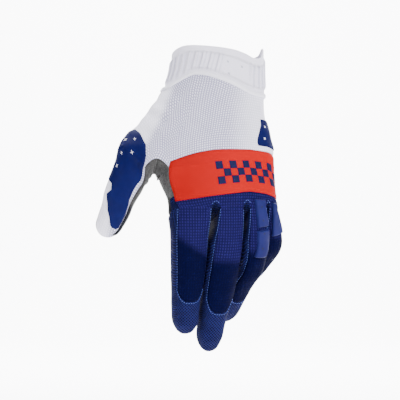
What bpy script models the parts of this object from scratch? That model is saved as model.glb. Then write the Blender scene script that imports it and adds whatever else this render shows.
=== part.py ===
"""Motocross glove for the left hand, kept in its worn form, as Blender objects.

Metres, +Z up. The origin is the middle of the wrist opening. The back of the hand faces -Y, the thumb
is on the -X side, and the fingers hang down. One closed outer surface is laid out in blocks: the trunk
from the cuff to the thumb's crotch, the hand from there to the finger webs, five tubes and the webs
between them. Each panel of cloth is a set of its cells, given a wall inwards and a seam gap all round.
"""

import math

import bpy
import numpy as np

# Lengths down the glove
CUFF_LENGTH = 0.0266
PALM_LENGTH = 0.0866
INDEX_LENGTH = 0.0876
MIDDLE_LENGTH = 0.1009
RING_LENGTH = 0.0925
LITTLE_LENGTH = 0.0636
THUMB_LENGTH = 0.0651

# Widths across, and depths from back to palm
WRIST_WIDTH = 0.0703
WRIST_DEPTH = 0.0459
PALM_WIDTH = 0.0792
PALM_THICK = 0.0275
PALM_OFFSET = 0.0041
KNUCKLE_REACH = 0.0422
INDEX_WIDTH = 0.0285
MIDDLE_WIDTH = 0.0256
RING_WIDTH = 0.0194
LITTLE_WIDTH = 0.0172
THUMB_WIDTH = 0.0240

# Walls and clearances
CUFF_WALL = 0.0016
MESH_WALL = 0.0012
KNIT_WALL = 0.0012
BAND_WALL = 0.0016
SUEDE_WALL = 0.0012
PATCH_THICK = 0.0008
GUARD_THICK = 0.0020
SEAM_GAP = 0.0004
LIFT = 0.0004

# Webs: how far their edges rise between the fingers, how far their middles hang, and how they bow in the
# crotch of the thumb. BAND_BOW is how far the band's upper edge bows up over the index finger.
WEB_SLOT_RISE = 0.0033
WEB_SAG = 0.0025
CROTCH_RISE = 0.0060
CROTCH_SAG = 0.0035
BAND_BOW = 0.0013
THUMB_WEB_BOW = (0.0040, 0.0, -0.0060)
HAND_WEB_BOW = (-0.0060, 0.0, -0.0050)

# Ribs of the cuff. RIB_LEAN counts ribs over the cuff's height, RIB_FADE is a share of that height.
CUFF_RIBS = 24
RIB_DEPTH = 0.0009
RIB_LEAN = 0.5
RIB_FADE = 0.25

# Cells of the outer surface
FINGER_CELLS = 4
SIDE_CELLS = 4
SLOT_CELLS = 2
CROTCH_CELLS = 4
BACK_ROWS = 7
HAND_ROWS = 4
TONGUE_CELLS = 8
TIP_CELLS = 3
THUMB_CELLS = 8
THUMB_TIP_CELLS = 2
CUFF_COLUMNS = 96
CUFF_ROWS = 3
ULNAR_COLUMNS = 8
ROW_APART = 0.03
COLUMN_APART = 0.05
WELD = 1e-6
SHARP_ANGLE = 40.0
MITRE_LIMIT = 0.6

# Slices across the wrist. down is a share of CUFF_LENGTH, left and right are shares of WRIST_WIDTH from the
# wrist's axis, reach is a share of KNUCKLE_REACH, half is a share of half WRIST_DEPTH.
WRIST_SLICES = (
    # down, left, right, reach, half, slope, arch, power
    (-0.40, -0.50, 0.49, -0.03, 1.00, 0.15, 0.00, 2.0),
    (0.00, -0.50, 0.49, 0.00, 1.00, 0.15, 0.00, 2.0),
    (0.31, -0.51, 0.49, 0.05, 0.99, 0.16, 0.00, 2.0),
    (0.58, -0.53, 0.49, 0.10, 0.97, 0.18, 0.00, 2.0),
    (0.81, -0.56, 0.49, 0.17, 0.93, 0.21, 0.01, 2.1),
)
# Slices across the palm and the root of the thumb. down is a share of PALM_LENGTH, left and right are shares
# of PALM_WIDTH from the palm's axis, half is a share of half PALM_THICK, arch is a share of PALM_WIDTH.
PALM_SLICES = (
    # down, left, right, reach, half, slope, arch, power
    (0.00, -0.58, 0.38, 0.23, 1.45, 0.24, 0.02, 2.2),
    (0.09, -0.64, 0.37, 0.33, 1.40, 0.28, 0.03, 2.2),
    (0.17, -0.70, 0.37, 0.42, 1.34, 0.32, 0.04, 2.3),
    (0.26, -0.77, 0.38, 0.51, 1.29, 0.36, 0.05, 2.3),
    (0.34, -0.85, 0.40, 0.61, 1.24, 0.39, 0.06, 2.4),
    (0.43, -0.93, 0.42, 0.70, 1.19, 0.41, 0.06, 2.4),
    (0.51, -0.97, 0.44, 0.79, 1.15, 0.42, 0.06, 2.5),
    (0.60, -1.00, 0.45, 0.86, 1.11, 0.42, 0.06, 2.5),
    (0.68, -1.03, 0.455, 0.91, 1.08, 0.42, 0.06, 2.5),
    (0.86, -1.05, 0.465, 0.98, 1.02, 0.42, 0.06, 2.5),
    (1.00, -1.05, 0.485, 1.00, 0.98, 0.42, 0.06, 2.5),
    (1.20, -1.05, 0.495, 1.00, 0.95, 0.42, 0.06, 2.5),
)
# The same slices without the thumb, for the hand below its crotch.
HAND_SLICES = (
    # down, left, right
    (0.60, -0.62, 0.45),
    (0.68, -0.59, 0.455),
    (0.77, -0.56, 0.46),
    (0.86, -0.54, 0.465),
    (1.00, -0.52, 0.485),
    (1.20, -0.50, 0.495),
)
# Columns that bound the thumb, the webs and the fingers on the back of the hand. across_crotch and
# across_web are shares of PALM_WIDTH from the palm's axis. The others are shares of PALM_LENGTH down from
# the cuff's seam.
COLUMNS = (
    # cells, across_crotch, across_web, crotch, band_top, band_end, web
    (FINGER_CELLS, -0.925, -0.925, 0.487, 0.420, 0.950, 1.00),
    (CROTCH_CELLS, -0.738, -0.738, 0.658, 0.580, 0.950, 1.00),
    (FINGER_CELLS, -0.540, -0.449, 0.667, 0.615, 0.953, 1.00),
    (SLOT_CELLS, -0.160, -0.172, 0.618, 0.512, 0.906, 1.00),
    (FINGER_CELLS, -0.095, -0.098, 0.612, 0.509, 0.897, 1.00),
    (SLOT_CELLS, 0.112, 0.107, 0.607, 0.507, 0.872, 1.00),
    (FINGER_CELLS, 0.168, 0.168, 0.607, 0.507, 0.868, 1.00),
    (SLOT_CELLS, 0.322, 0.322, 0.624, 0.527, 0.887, 1.00),
    (FINGER_CELLS, 0.347, 0.357, 0.626, 0.530, 0.897, 1.00),
    (0, 0.400, 0.430, 0.650, 0.545, 0.915, 1.00),
)
# How much lower each of those lines lies on the palm's side, in shares of PALM_LENGTH.
PALM_SIDE_DROP = {"crotch": 0.07, "band_top": 0.06, "band_end": 0.10, "web": 0.12}
# The seam between the cuff and the back, by share of the width across it, as a share of PALM_LENGTH.
CUFF_SEAM = (
    # across, down
    (-1.00, 0.00), (-0.90, -0.04), (-0.78, -0.09), (-0.62, -0.14), (-0.44, -0.148),
    (-0.14, -0.120), (0.14, -0.078), (0.34, -0.040), (0.50, -0.005), (0.64, 0.018),
    (0.80, 0.034), (1.00, 0.035),
)
# The cuff's upper edge round the wrist: turn is 0 at the thumb's side, 1 at the little finger's side across
# the back, 2 at the thumb's side again across the palm. rise is a share of CUFF_LENGTH.
CUFF_EDGE = (
    # turn, rise
    (0.00, 0.05), (0.10, 0.16), (0.22, 0.25), (0.38, 0.24), (0.48, 0.20), (0.60, 0.12), (0.68, 0.02),
    (0.76, -0.09), (0.84, -0.09), (0.93, 0.02), (1.00, 0.21), (1.10, 0.03), (1.30, -0.10), (1.60, -0.12),
    (1.85, -0.04), (2.00, 0.05),
)
# Each finger's middle line and size. along is a share of its length; across, down and back are shares of its
# length from its root; wide and thick are shares of half its width.
FINGERS = {
    "index": {
        "length": INDEX_LENGTH, "width": INDEX_WIDTH, "turn": 22.0, "tongue": (0.60, 0.70),
        "rows": (
            # along, across, down, back, wide, thick
            (0.00, 0.000, 0.000, 0.000, 1.00, 0.80),
            (0.19, -0.004, 0.185, -0.005, 0.95, 0.78),
            (0.44, -0.012, 0.444, 0.020, 0.86, 0.74),
            (0.63, -0.024, 0.629, 0.055, 0.77, 0.70),
            (0.75, -0.035, 0.750, 0.085, 0.71, 0.66),
            (0.91, -0.036, 0.911, 0.135, 0.67, 0.62),
            (1.00, -0.036, 0.995, 0.160, 0.65, 0.60),
        ),
    },
    "middle": {
        "length": MIDDLE_LENGTH, "width": MIDDLE_WIDTH, "turn": 27.0, "tongue": (0.58, 0.69),
        "rows": (
            (0.00, 0.000, 0.000, 0.000, 1.00, 0.92),
            (0.16, 0.002, 0.162, 0.000, 1.00, 0.85),
            (0.37, -0.026, 0.373, 0.020, 1.00, 0.83),
            (0.51, -0.050, 0.514, 0.050, 0.98, 0.80),
            (0.66, -0.076, 0.655, 0.085, 0.88, 0.76),
            (0.80, -0.100, 0.796, 0.125, 0.78, 0.70),
            (0.90, -0.112, 0.900, 0.155, 0.76, 0.68),
            (1.00, -0.108, 0.995, 0.185, 0.73, 0.66),
        ),
    },
    "ring": {
        "length": RING_LENGTH, "width": RING_WIDTH, "turn": 38.0, "tongue": (0.62, 0.72),
        "rows": (
            (0.00, 0.000, 0.000, 0.000, 1.00, 0.96),
            (0.20, 0.020, 0.200, 0.010, 1.00, 0.96),
            (0.34, 0.014, 0.336, 0.030, 1.00, 0.96),
            (0.42, -0.008, 0.416, 0.070, 1.00, 0.96),
            (0.52, -0.055, 0.492, 0.130, 0.98, 0.94),
            (0.70, -0.128, 0.628, 0.232, 0.94, 0.90),
            (0.85, -0.174, 0.742, 0.320, 0.88, 0.84),
            (1.00, -0.220, 0.855, 0.408, 0.82, 0.78),
        ),
    },
    "little": {
        "length": LITTLE_LENGTH, "width": LITTLE_WIDTH, "turn": 46.0, "tongue": (0.62, 0.74),
        "rows": (
            (0.00, 0.000, 0.000, 0.000, 1.00, 0.96),
            (0.20, 0.030, 0.200, 0.085, 1.00, 0.92),
            (0.38, 0.030, 0.372, 0.150, 1.00, 0.92),
            (0.50, -0.020, 0.455, 0.235, 0.98, 0.92),
            (0.70, -0.115, 0.590, 0.360, 0.94, 0.88),
            (0.85, -0.195, 0.694, 0.455, 0.88, 0.82),
            (1.00, -0.275, 0.797, 0.545, 0.82, 0.76),
        ),
    },
}
# The thumb's two outlines from its crotch, in shares of THUMB_LENGTH, and its thickness in shares of half
# THUMB_WIDTH.
THUMB_ROWS = (
    # along, outer_across, outer_down, inner_across, inner_down, back, thick
    (0.00, -0.415, -0.240, -0.080, 0.060, 0.00, 0.98),
    (0.16, -0.440, -0.080, -0.110, 0.180, -0.01, 0.98),
    (0.30, -0.500, 0.070, -0.160, 0.280, -0.02, 0.96),
    (0.44, -0.575, 0.250, -0.240, 0.410, -0.01, 0.93),
    (0.60, -0.602, 0.398, -0.290, 0.523, 0.02, 0.88),
    (0.76, -0.636, 0.523, -0.341, 0.619, 0.06, 0.82),
    (0.88, -0.670, 0.640, -0.403, 0.720, 0.10, 0.76),
    (1.00, -0.690, 0.750, -0.455, 0.800, 0.13, 0.70),
)
# Outlines of the pieces laid on the cloth. row counts the surface's own rows down from the cuff's seam, left
# and right count its columns from the strip's first one.
THUMB_PATCH = (
    # row, left, right
    (5.78, 1.25, 4.35), (6.00, 0.95, 5.40), (6.25, 0.80, 6.20), (7.00, 0.80, 6.70), (8.00, 0.80, 6.80),
    (10.20, 0.80, 6.25), (11.20, 0.90, 6.30), (11.45, 3.35, 6.36), (11.90, 3.76, 6.45), (12.40, 3.18, 6.62),
    (14.30, 4.06, 6.72), (15.90, 5.24, 6.70), (16.30, 5.59, 6.25),
)
SIDE_PATCH = (
    # row, left, right
    (3.00, 2.90, 9.40), (3.57, 2.10, 9.40), (4.13, 1.40, 9.40), (4.78, 0.85, 9.40), (5.43, 0.35, 9.40),
    (5.98, 0.10, 9.40), (6.40, 0.20, 9.40),
)
RING_GUARD_UPPER = (
    # row, left, right
    (4.45, 0.90, 3.40), (5.00, 1.00, 3.50), (6.38, 1.45, 3.75),
)
RING_GUARD_LOWER = (
    # row, left, right
    (6.56, 1.35, 3.55), (7.31, 1.40, 3.50), (8.02, 1.25, 3.15), (8.50, 1.00, 2.65),
)
LITTLE_GUARD = (
    # row, left, right
    (4.60, 1.30, 3.60), (5.27, 1.00, 3.40), (6.07, 0.85, 3.20), (7.30, 0.85, 3.00),
)
# Where the crotch of the thumb lies, as shares of PALM_WIDTH and PALM_LENGTH, the thumb's turn in degrees,
# and by how many degrees its inner seam comes round to the back, reached at a share of its length.
THUMB_CROTCH_ACROSS = -0.636
THUMB_CROTCH_DOWN = 0.667
THUMB_TURN = 8.0
THUMB_SEAM_TURN = 18.0
SEAM_TURN_BLEND = 0.35
THUMB_TIP_FROM = 0.84
# Where the cuff's seam crosses the palm's side, as shares of PALM_LENGTH.
PALM_SEAM_DOWN = 0.035
PALM_SEAM_SLOPE = 0.03
# Shares of a finger's length: it has its own section from TUBE_BLEND on, rounds off from ROUND_FROM on and
# takes its cap at TUBE_END. The hand has its own section at CROTCH_BLEND of the way to the webs.
TUBE_BLEND = 0.22
TUBE_END = 0.955
ROUND_FROM = 0.84
CROTCH_BLEND = 0.62
SLOPE_STEP = 0.02
FINGER_POWER = 2.3
BACK_HALF_ANGLE = 60.0


def curve(knots, values, at):
    """Smooth curve through a table's values, held at both ends."""
    knots, values = np.asarray(knots, float), np.asarray(values, float)
    slopes = np.gradient(values, knots, axis=0)
    at = np.clip(np.asarray(at, float), knots[0], knots[-1])
    i = np.clip(np.searchsorted(knots, at, side="right") - 1, 0, len(knots) - 2)
    step = knots[i + 1] - knots[i]
    t = (at - knots[i]) / step
    if values.ndim > 1:
        t, step = t[..., None], step[..., None]
    rise = t * t * (3 - 2 * t)
    leaving, arriving = slopes[i] * step, slopes[i + 1] * step
    return (values[i] * (1 - rise) + values[i + 1] * rise
            + (t**3 - 2 * t**2 + t) * leaving + (t**3 - t**2) * arriving)


def signed_power(value, power):
    return np.sign(value) * np.abs(value) ** power


def unit(vectors):
    return vectors / np.maximum(np.linalg.norm(vectors, axis=-1, keepdims=True), 1e-12)


def column_x(share):
    return PALM_OFFSET + share * PALM_WIDTH


def slice_table():
    """Every slice of the trunk in metres, from the wrist down, and the hand's own two outlines."""
    rows = []
    for down, left, right, reach, half, slope, arch, power in WRIST_SLICES:
        rows.append((down * CUFF_LENGTH, left * WRIST_WIDTH, right * WRIST_WIDTH, -reach * KNUCKLE_REACH,
                     half * WRIST_DEPTH / 2, slope, arch * PALM_WIDTH, power))
    for down, left, right, reach, half, slope, arch, power in PALM_SLICES:
        rows.append((CUFF_LENGTH + down * PALM_LENGTH, column_x(left), column_x(right),
                     -reach * KNUCKLE_REACH, half * PALM_THICK / 2, slope, arch * PALM_WIDTH, power))
    hand = [(CUFF_LENGTH + down * PALM_LENGTH, column_x(left), column_x(right))
            for down, left, right in HAND_SLICES]
    return np.array(rows), np.array(hand)


TRUNK, HAND = slice_table()


def on_slice(down, angle, x_mid=None, hand=False):
    """A point of the slice at this depth below the opening.

    The slice is a middle line, bowed like the row of knuckles, with a thickness square to it that closes
    round at both ends. angle runs from 0 at the thumb's side over the back to pi, and on under the palm.
    """
    down, angle = np.broadcast_arrays(np.asarray(down, float), np.asarray(angle, float))
    _, left, right, y_mid, half, slope, arch, power = np.moveaxis(curve(TRUNK[:, 0], TRUNK, down), -1, 0)
    if hand:
        _, left, right = np.moveaxis(curve(HAND[:, 0], HAND, down), -1, 0)
    centre, reach = (left + right) / 2, (right - left) / 2
    if x_mid is None:
        share = -signed_power(np.cos(angle), 2 / power)
        thick = signed_power(np.sin(angle), 2 / power)
        x_mid = centre + share * reach
    else:
        share = np.clip((x_mid - centre) / reach, -1, 1)
        thick = np.sign(np.sin(angle)) * (1 - np.abs(share) ** power) ** (1 / power)
    from_axis = (x_mid - PALM_OFFSET) / (PALM_WIDTH / 2)
    tilt = np.arctan(slope + 2 * arch * from_axis / (PALM_WIDTH / 2))
    y_line = y_mid + slope * (x_mid - PALM_OFFSET) + arch * from_axis**2
    out = half * thick
    return np.stack([x_mid + out * np.sin(tilt), y_line - out * np.cos(tilt), -down], axis=-1)


def end_angle(down, x_mid, hand):
    """The angle of a slice at which its middle line has reached x_mid."""
    row = curve(TRUNK[:, 0], TRUNK, down)
    left, right = row[..., 1], row[..., 2]
    if hand:
        _, left, right = np.moveaxis(curve(HAND[:, 0], HAND, down), -1, 0)
    share = np.clip((x_mid - (left + right) / 2) / ((right - left) / 2), -1, 1)
    return np.arccos(-signed_power(share, row[..., 7] / 2))


def spread(name_index):
    """One column of COLUMNS, spread evenly over the cells between its rows."""
    values, cells = [row[name_index] for row in COLUMNS], [row[0] for row in COLUMNS]
    out = []
    for i, count in enumerate(cells[:-1]):
        out += [values[i] + (values[i + 1] - values[i]) * k / count for k in range(count)]
    return np.array(out + [values[-1]])


def slot_bumps():
    """For each column line, how far into a slot, the thumb's crotch or the index finger it lies.

    Each is 0 on that stretch's edges and 1 in its middle.
    """
    finger, crotch, index = [], [], []
    for row in COLUMNS[:-1]:
        for k in range(row[0]):
            arch = math.sin(math.pi * k / row[0])
            finger.append(arch if row[0] == SLOT_CELLS else 0.0)
            crotch.append(arch if row is COLUMNS[1] else 0.0)
            index.append(arch if row is COLUMNS[2] else 0.0)
    return np.array(finger + [0.0]), np.array(crotch + [0.0]), np.array(index + [0.0])


STARTS = np.concatenate([[0], np.cumsum([row[0] for row in COLUMNS[:-1]])])
HAND_START = STARTS[2]
FINGER_STARTS = dict(zip(FINGERS, (STARTS[2], STARTS[4], STARTS[6], STARTS[8])))
FINGER_BUMP, CROTCH_BUMP, INDEX_BUMP = slot_bumps()


def line_depths(name):
    """Depth of a named line at every column: on the back, and on the palm's side."""
    index = {"crotch": 3, "band_top": 4, "band_end": 5, "web": 6}[name]
    back = CUFF_LENGTH + spread(index) * PALM_LENGTH
    palm = back + PALM_SIDE_DROP[name] * PALM_LENGTH
    if name in ("crotch", "band_top"):
        rise = CROTCH_BUMP * CROTCH_RISE
        back, palm = back - rise, palm - rise
    if name == "band_top":
        back = back - INDEX_BUMP * BAND_BOW
    if name == "web":
        rise = FINGER_BUMP * WEB_SLOT_RISE
        back, palm = back - rise, palm - rise
    return back, palm


def seam_depths(x_share):
    table = np.array(CUFF_SEAM)
    back = CUFF_LENGTH + curve(table[:, 0], table[:, 1], x_share) * PALM_LENGTH
    palm = CUFF_LENGTH + (PALM_SEAM_DOWN + PALM_SEAM_SLOPE * x_share) * PALM_LENGTH
    return back, palm


def ring_of(back_depth, palm_depth, x_mid, hand):
    """A closed row: the back from left to right, the right side, the palm back to the left, the left side."""
    back = on_slice(back_depth, np.pi / 2, x_mid, hand)
    palm = on_slice(palm_depth, -np.pi / 2, x_mid, hand)[::-1]
    step = np.arange(1, SIDE_CELLS) / SIDE_CELLS

    def side(i, from_angle, to_angle):
        depth = back_depth[i] + (palm_depth[i] - back_depth[i]) * (step if i else 1 - step)
        return on_slice(depth, from_angle + (to_angle - from_angle) * step, None, hand)

    right = end_angle(back_depth[-1], x_mid[-1], hand)
    left = end_angle(back_depth[0], x_mid[0], hand)
    return np.concatenate([back, side(-1, right, 2 * np.pi - right), palm, side(0, -left, left)])


def crotch_shares():
    """Where each column crosses the row at the thumb's crotch, from -1 on its left to 1 on its right."""
    row = curve(TRUNK[:, 0], TRUNK, line_depths("crotch")[0])
    return (column_x(spread(1)) - (row[:, 1] + row[:, 2]) / 2) / ((row[:, 2] - row[:, 1]) / 2)


def trunk_rows():
    """Rows from the cuff's seam to the crotch of the thumb. The first lies on the seam."""
    crotch_back, crotch_palm = line_depths("crotch")
    band_back, band_palm = line_depths("band_top")
    share = crotch_shares()
    seam_back, seam_palm = seam_depths(share)
    rings = []
    for k in range(BACK_ROWS + 2):
        if k <= BACK_ROWS:
            t = k / BACK_ROWS
            back, palm = seam_back + (band_back - seam_back) * t, seam_palm + (band_palm - seam_palm) * t
        else:
            back, palm = crotch_back, crotch_palm
        row = curve(TRUNK[:, 0], TRUNK, back)
        x_mid = (row[:, 1] + row[:, 2]) / 2 + share * (row[:, 2] - row[:, 1]) / 2
        rings.append(ring_of(back, palm, x_mid, False))
    return np.array(rings)


def web_wall(start, end, bulge):
    """Points of a web's edge from the back to the palm, bowed out by a vector."""
    t = np.linspace(0, 1, SIDE_CELLS + 1)[:, None]
    return start + (end - start) * t + np.sin(np.pi * t) * np.asarray(bulge)


def smooth_step(t):
    t = np.clip(t, 0, 1)
    return t * t * (3 - 2 * t)


def hand_rows(trunk_end, inner_wall):
    """Rows from the thumb's crotch to the finger webs."""
    count = len(FINGER_BUMP)
    back0, palm0 = (depths[HAND_START:] for depths in line_depths("crotch"))
    back1, palm1 = (depths[HAND_START:] for depths in line_depths("band_end"))
    back2, palm2 = (depths[HAND_START:] for depths in line_depths("web"))
    x0, x1 = column_x(spread(1))[HAND_START:], column_x(spread(2))[HAND_START:]
    columns = count - HAND_START
    back_start = trunk_end[HAND_START:count]
    right_start = trunk_end[count : count + SIDE_CELLS - 1]
    palm_start = trunk_end[count + SIDE_CELLS - 1 : count + SIDE_CELLS - 1 + columns]
    first = np.concatenate([back_start, right_start, palm_start, inner_wall[::-1][1:-1]])
    rings = [first]
    for k in range(1, HAND_ROWS + 2):
        if k <= HAND_ROWS:
            t = k / HAND_ROWS
            back, palm = back0 + (back1 - back0) * t, palm0 + (palm1 - palm0) * t
        else:
            back, palm = back2, palm2
        whole = (back.mean() - back0.mean()) / (back2.mean() - back0.mean())
        ring = ring_of(back, palm, x0 + (x1 - x0) * whole, True)
        moved = first.copy()
        moved[:, 2] = ring[:, 2]
        mix = smooth_step(whole / CROTCH_BLEND)
        rings.append(moved * (1 - mix) + ring * mix)
    return np.array(rings)


def coons(top, bottom, left, right):
    """Patch between four edges, the mean of both ways across less its corners."""
    u = np.linspace(0, 1, len(top))[None, :, None]
    v = np.linspace(0, 1, len(left))[:, None, None]
    across = left[:, None] * (1 - u) + right[:, None] * u
    down = top[None] * (1 - v) + bottom[None] * v
    corners = (top[0] * (1 - u) + top[-1] * u) * (1 - v) + (bottom[0] * (1 - u) + bottom[-1] * u) * v
    return across + down - corners


def tube_rows(base, middle, frames, tongue, cells_to_tongue, cells_after, seam_turn=0.0):
    """Rows of a finger from its web down. They leave as the web's own ring and become round in section.

    One row lies along the end of the back's tongue of cloth: tongue holds where that row is at the
    tongue's sides and in its middle, as shares of the finger's length. seam_turn is how far the seam at
    the back's right side comes round to the back, in radians.
    """
    n, m = FINGER_CELLS, SIDE_CELLS
    half = math.radians(BACK_HALF_ANGLE)
    corners = (-half, half, math.pi - half, math.pi + half, 2 * math.pi - half)
    sides = [np.linspace(corners[i], corners[i + 1], cells + 1)[:-1] for i, cells in enumerate((n, m, n, m))]
    turns = np.concatenate(sides)
    columns = np.arange(len(turns))
    across = np.clip(np.abs(columns - n / 2) / (n / 2), 0, 1)
    on_back = columns <= n
    by_seam = np.clip(1 - np.abs(columns - n) / n, 0, 1)
    low, high = tongue
    end = np.where(on_back, high - (high - low) * across**3, low)
    start = middle(np.zeros(1))[0]
    centre = base.mean(axis=0)
    rings = [base]
    for k in range(1, cells_to_tongue + cells_after + 1):
        if k <= cells_to_tongue:
            along = end * k / cells_to_tongue
        else:
            along = end + (TUBE_END - end) * (k - cells_to_tongue) / cells_after
        place = middle(along) - start + centre
        sideways, outwards, wide, thick = frames(along)
        round_off = np.sqrt(1 - (np.clip((along - ROUND_FROM) / (1 - ROUND_FROM), 0, 1)) ** 2)[:, None]
        around = turns - seam_turn * by_seam * smooth_step(along / SEAM_TURN_BLEND)
        section = (sideways * (wide * signed_power(np.sin(around), 2 / FINGER_POWER))[:, None]
                   + outwards * (thick * signed_power(np.cos(around), 2 / FINGER_POWER))[:, None]) * round_off
        mix = smooth_step(along / TUBE_BLEND)[:, None]
        rings.append(place + (base - centre) * (1 - mix) + section * mix)
    return np.array(rings)


def tip_cap(ring, middle_point):
    """Closes a tube: a patch between its four sides, domed out to the fingertip."""
    n, m = FINGER_CELLS, SIDE_CELLS
    top, right = ring[: n + 1], ring[n : n + m + 1]
    bottom = ring[n + m : 2 * n + m + 1][::-1]
    left = np.concatenate([ring[2 * n + m :], ring[:1]])[::-1]
    patch = coons(top, bottom, left, right)
    u, v = np.linspace(-1, 1, n + 1)[None, :, None], np.linspace(-1, 1, m + 1)[:, None, None]
    return patch + (middle_point - ring.mean(axis=0)) * (1 - u**2) * (1 - v**2)


def finger_tube(name, base):
    spec = FINGERS[name]
    table = np.array(spec["rows"])
    length, half_width = spec["length"], spec["width"] / 2
    turn = math.radians(spec["turn"])

    def middle(along):
        at = curve(table[:, 0], table[:, 1:4], along)
        return np.stack([at[:, 0], at[:, 2], -at[:, 1]], axis=-1) * length

    def frames(along):
        heading = unit(middle(along + SLOPE_STEP) - middle(along - SLOPE_STEP))
        flat = np.array([math.cos(turn), math.sin(turn), 0.0])
        sideways = unit(flat - heading * (heading @ flat)[:, None])
        outwards = unit(np.cross(heading, sideways))
        sizes = curve(table[:, 0], table[:, 4:6], along) * half_width
        return sideways, outwards, sizes[:, 0], sizes[:, 1]

    rows = tube_rows(base, middle, frames, spec["tongue"], TONGUE_CELLS, TIP_CELLS)
    tip = middle(np.ones(1))[0] - middle(np.zeros(1))[0] + base.mean(axis=0)
    return rows, tip_cap(rows[-1], tip)


def thumb_tube(base):
    table = np.array(THUMB_ROWS)
    crotch = np.array([column_x(THUMB_CROTCH_ACROSS), 0.0, -(CUFF_LENGTH + THUMB_CROTCH_DOWN * PALM_LENGTH)])
    depth = base[:, 1].mean()
    turn = math.radians(THUMB_TURN)

    def edges(along):
        at = curve(table[:, 0], table, along)
        zero = np.zeros(len(at))
        outer = np.stack([at[:, 1], zero, -at[:, 2]], axis=-1) * THUMB_LENGTH + crotch
        inner = np.stack([at[:, 3], zero, -at[:, 4]], axis=-1) * THUMB_LENGTH + crotch
        return outer, inner, at[:, 5] * THUMB_LENGTH, at[:, 6] * THUMB_WIDTH / 2

    def middle(along):
        outer, inner, back, _ = edges(along)
        place = (outer + inner) / 2
        place[:, 1] = depth + back
        return place

    def frames(along):
        outer, inner, _, thick = edges(along)
        flat = unit(inner - outer)
        back = np.array([0.0, -1.0, 0.0])
        sideways = flat * math.cos(turn) - back * math.sin(turn)
        outwards = back * math.cos(turn) + flat * math.sin(turn)
        return sideways, outwards, np.linalg.norm(inner - outer, axis=1) / 2, thick

    start = middle(np.zeros(1))[0]
    centre = base.mean(axis=0)
    drift = start - centre

    def placed(along):
        return middle(along) - np.outer(1 - smooth_step(along / TUBE_BLEND), drift)

    rows = tube_rows(base, placed, frames, (THUMB_TIP_FROM, THUMB_TIP_FROM), THUMB_CELLS, THUMB_TIP_CELLS,
                     math.radians(THUMB_SEAM_TURN))
    tip = middle(np.ones(1))[0]
    return rows, tip_cap(rows[-1], tip)


class Surface:
    """The glove's outer surface: blocks of cells, welded where they meet, each cell with its panel's name."""

    def __init__(self):
        self.points, self.cells, self.panels, self.blocks = [], [], [], {}

    def add(self, name, rows, panel_of, closed):
        first = sum(len(p) for p in self.points)
        height, width = rows.shape[:2]
        self.points.append(rows.reshape(-1, 3))
        self.blocks[name] = rows
        for r in range(height - 1):
            for c in range(width if closed else width - 1):
                d = (c + 1) % width
                self.cells.append((first + r * width + c, first + (r + 1) * width + c,
                                   first + (r + 1) * width + d, first + r * width + d))
                self.panels.append(panel_of(r, c))

    def weld(self):
        points = np.concatenate(self.points)
        _, keep, index = np.unique(np.round(points / WELD).astype(np.int64), axis=0, return_index=True,
                                   return_inverse=True)
        self.corners = points[keep]
        self.faces = index.reshape(-1)[np.array(self.cells)]
        self.panels = np.array(self.panels)
        a, b, c, d = (self.corners[self.faces[:, i]] for i in range(4))
        normal = np.cross(c - a, d - b)
        self.normals = np.zeros_like(self.corners)
        for i in range(4):
            np.add.at(self.normals, self.faces[:, i], normal)
        self.normals = unit(self.normals)
        return self


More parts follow.
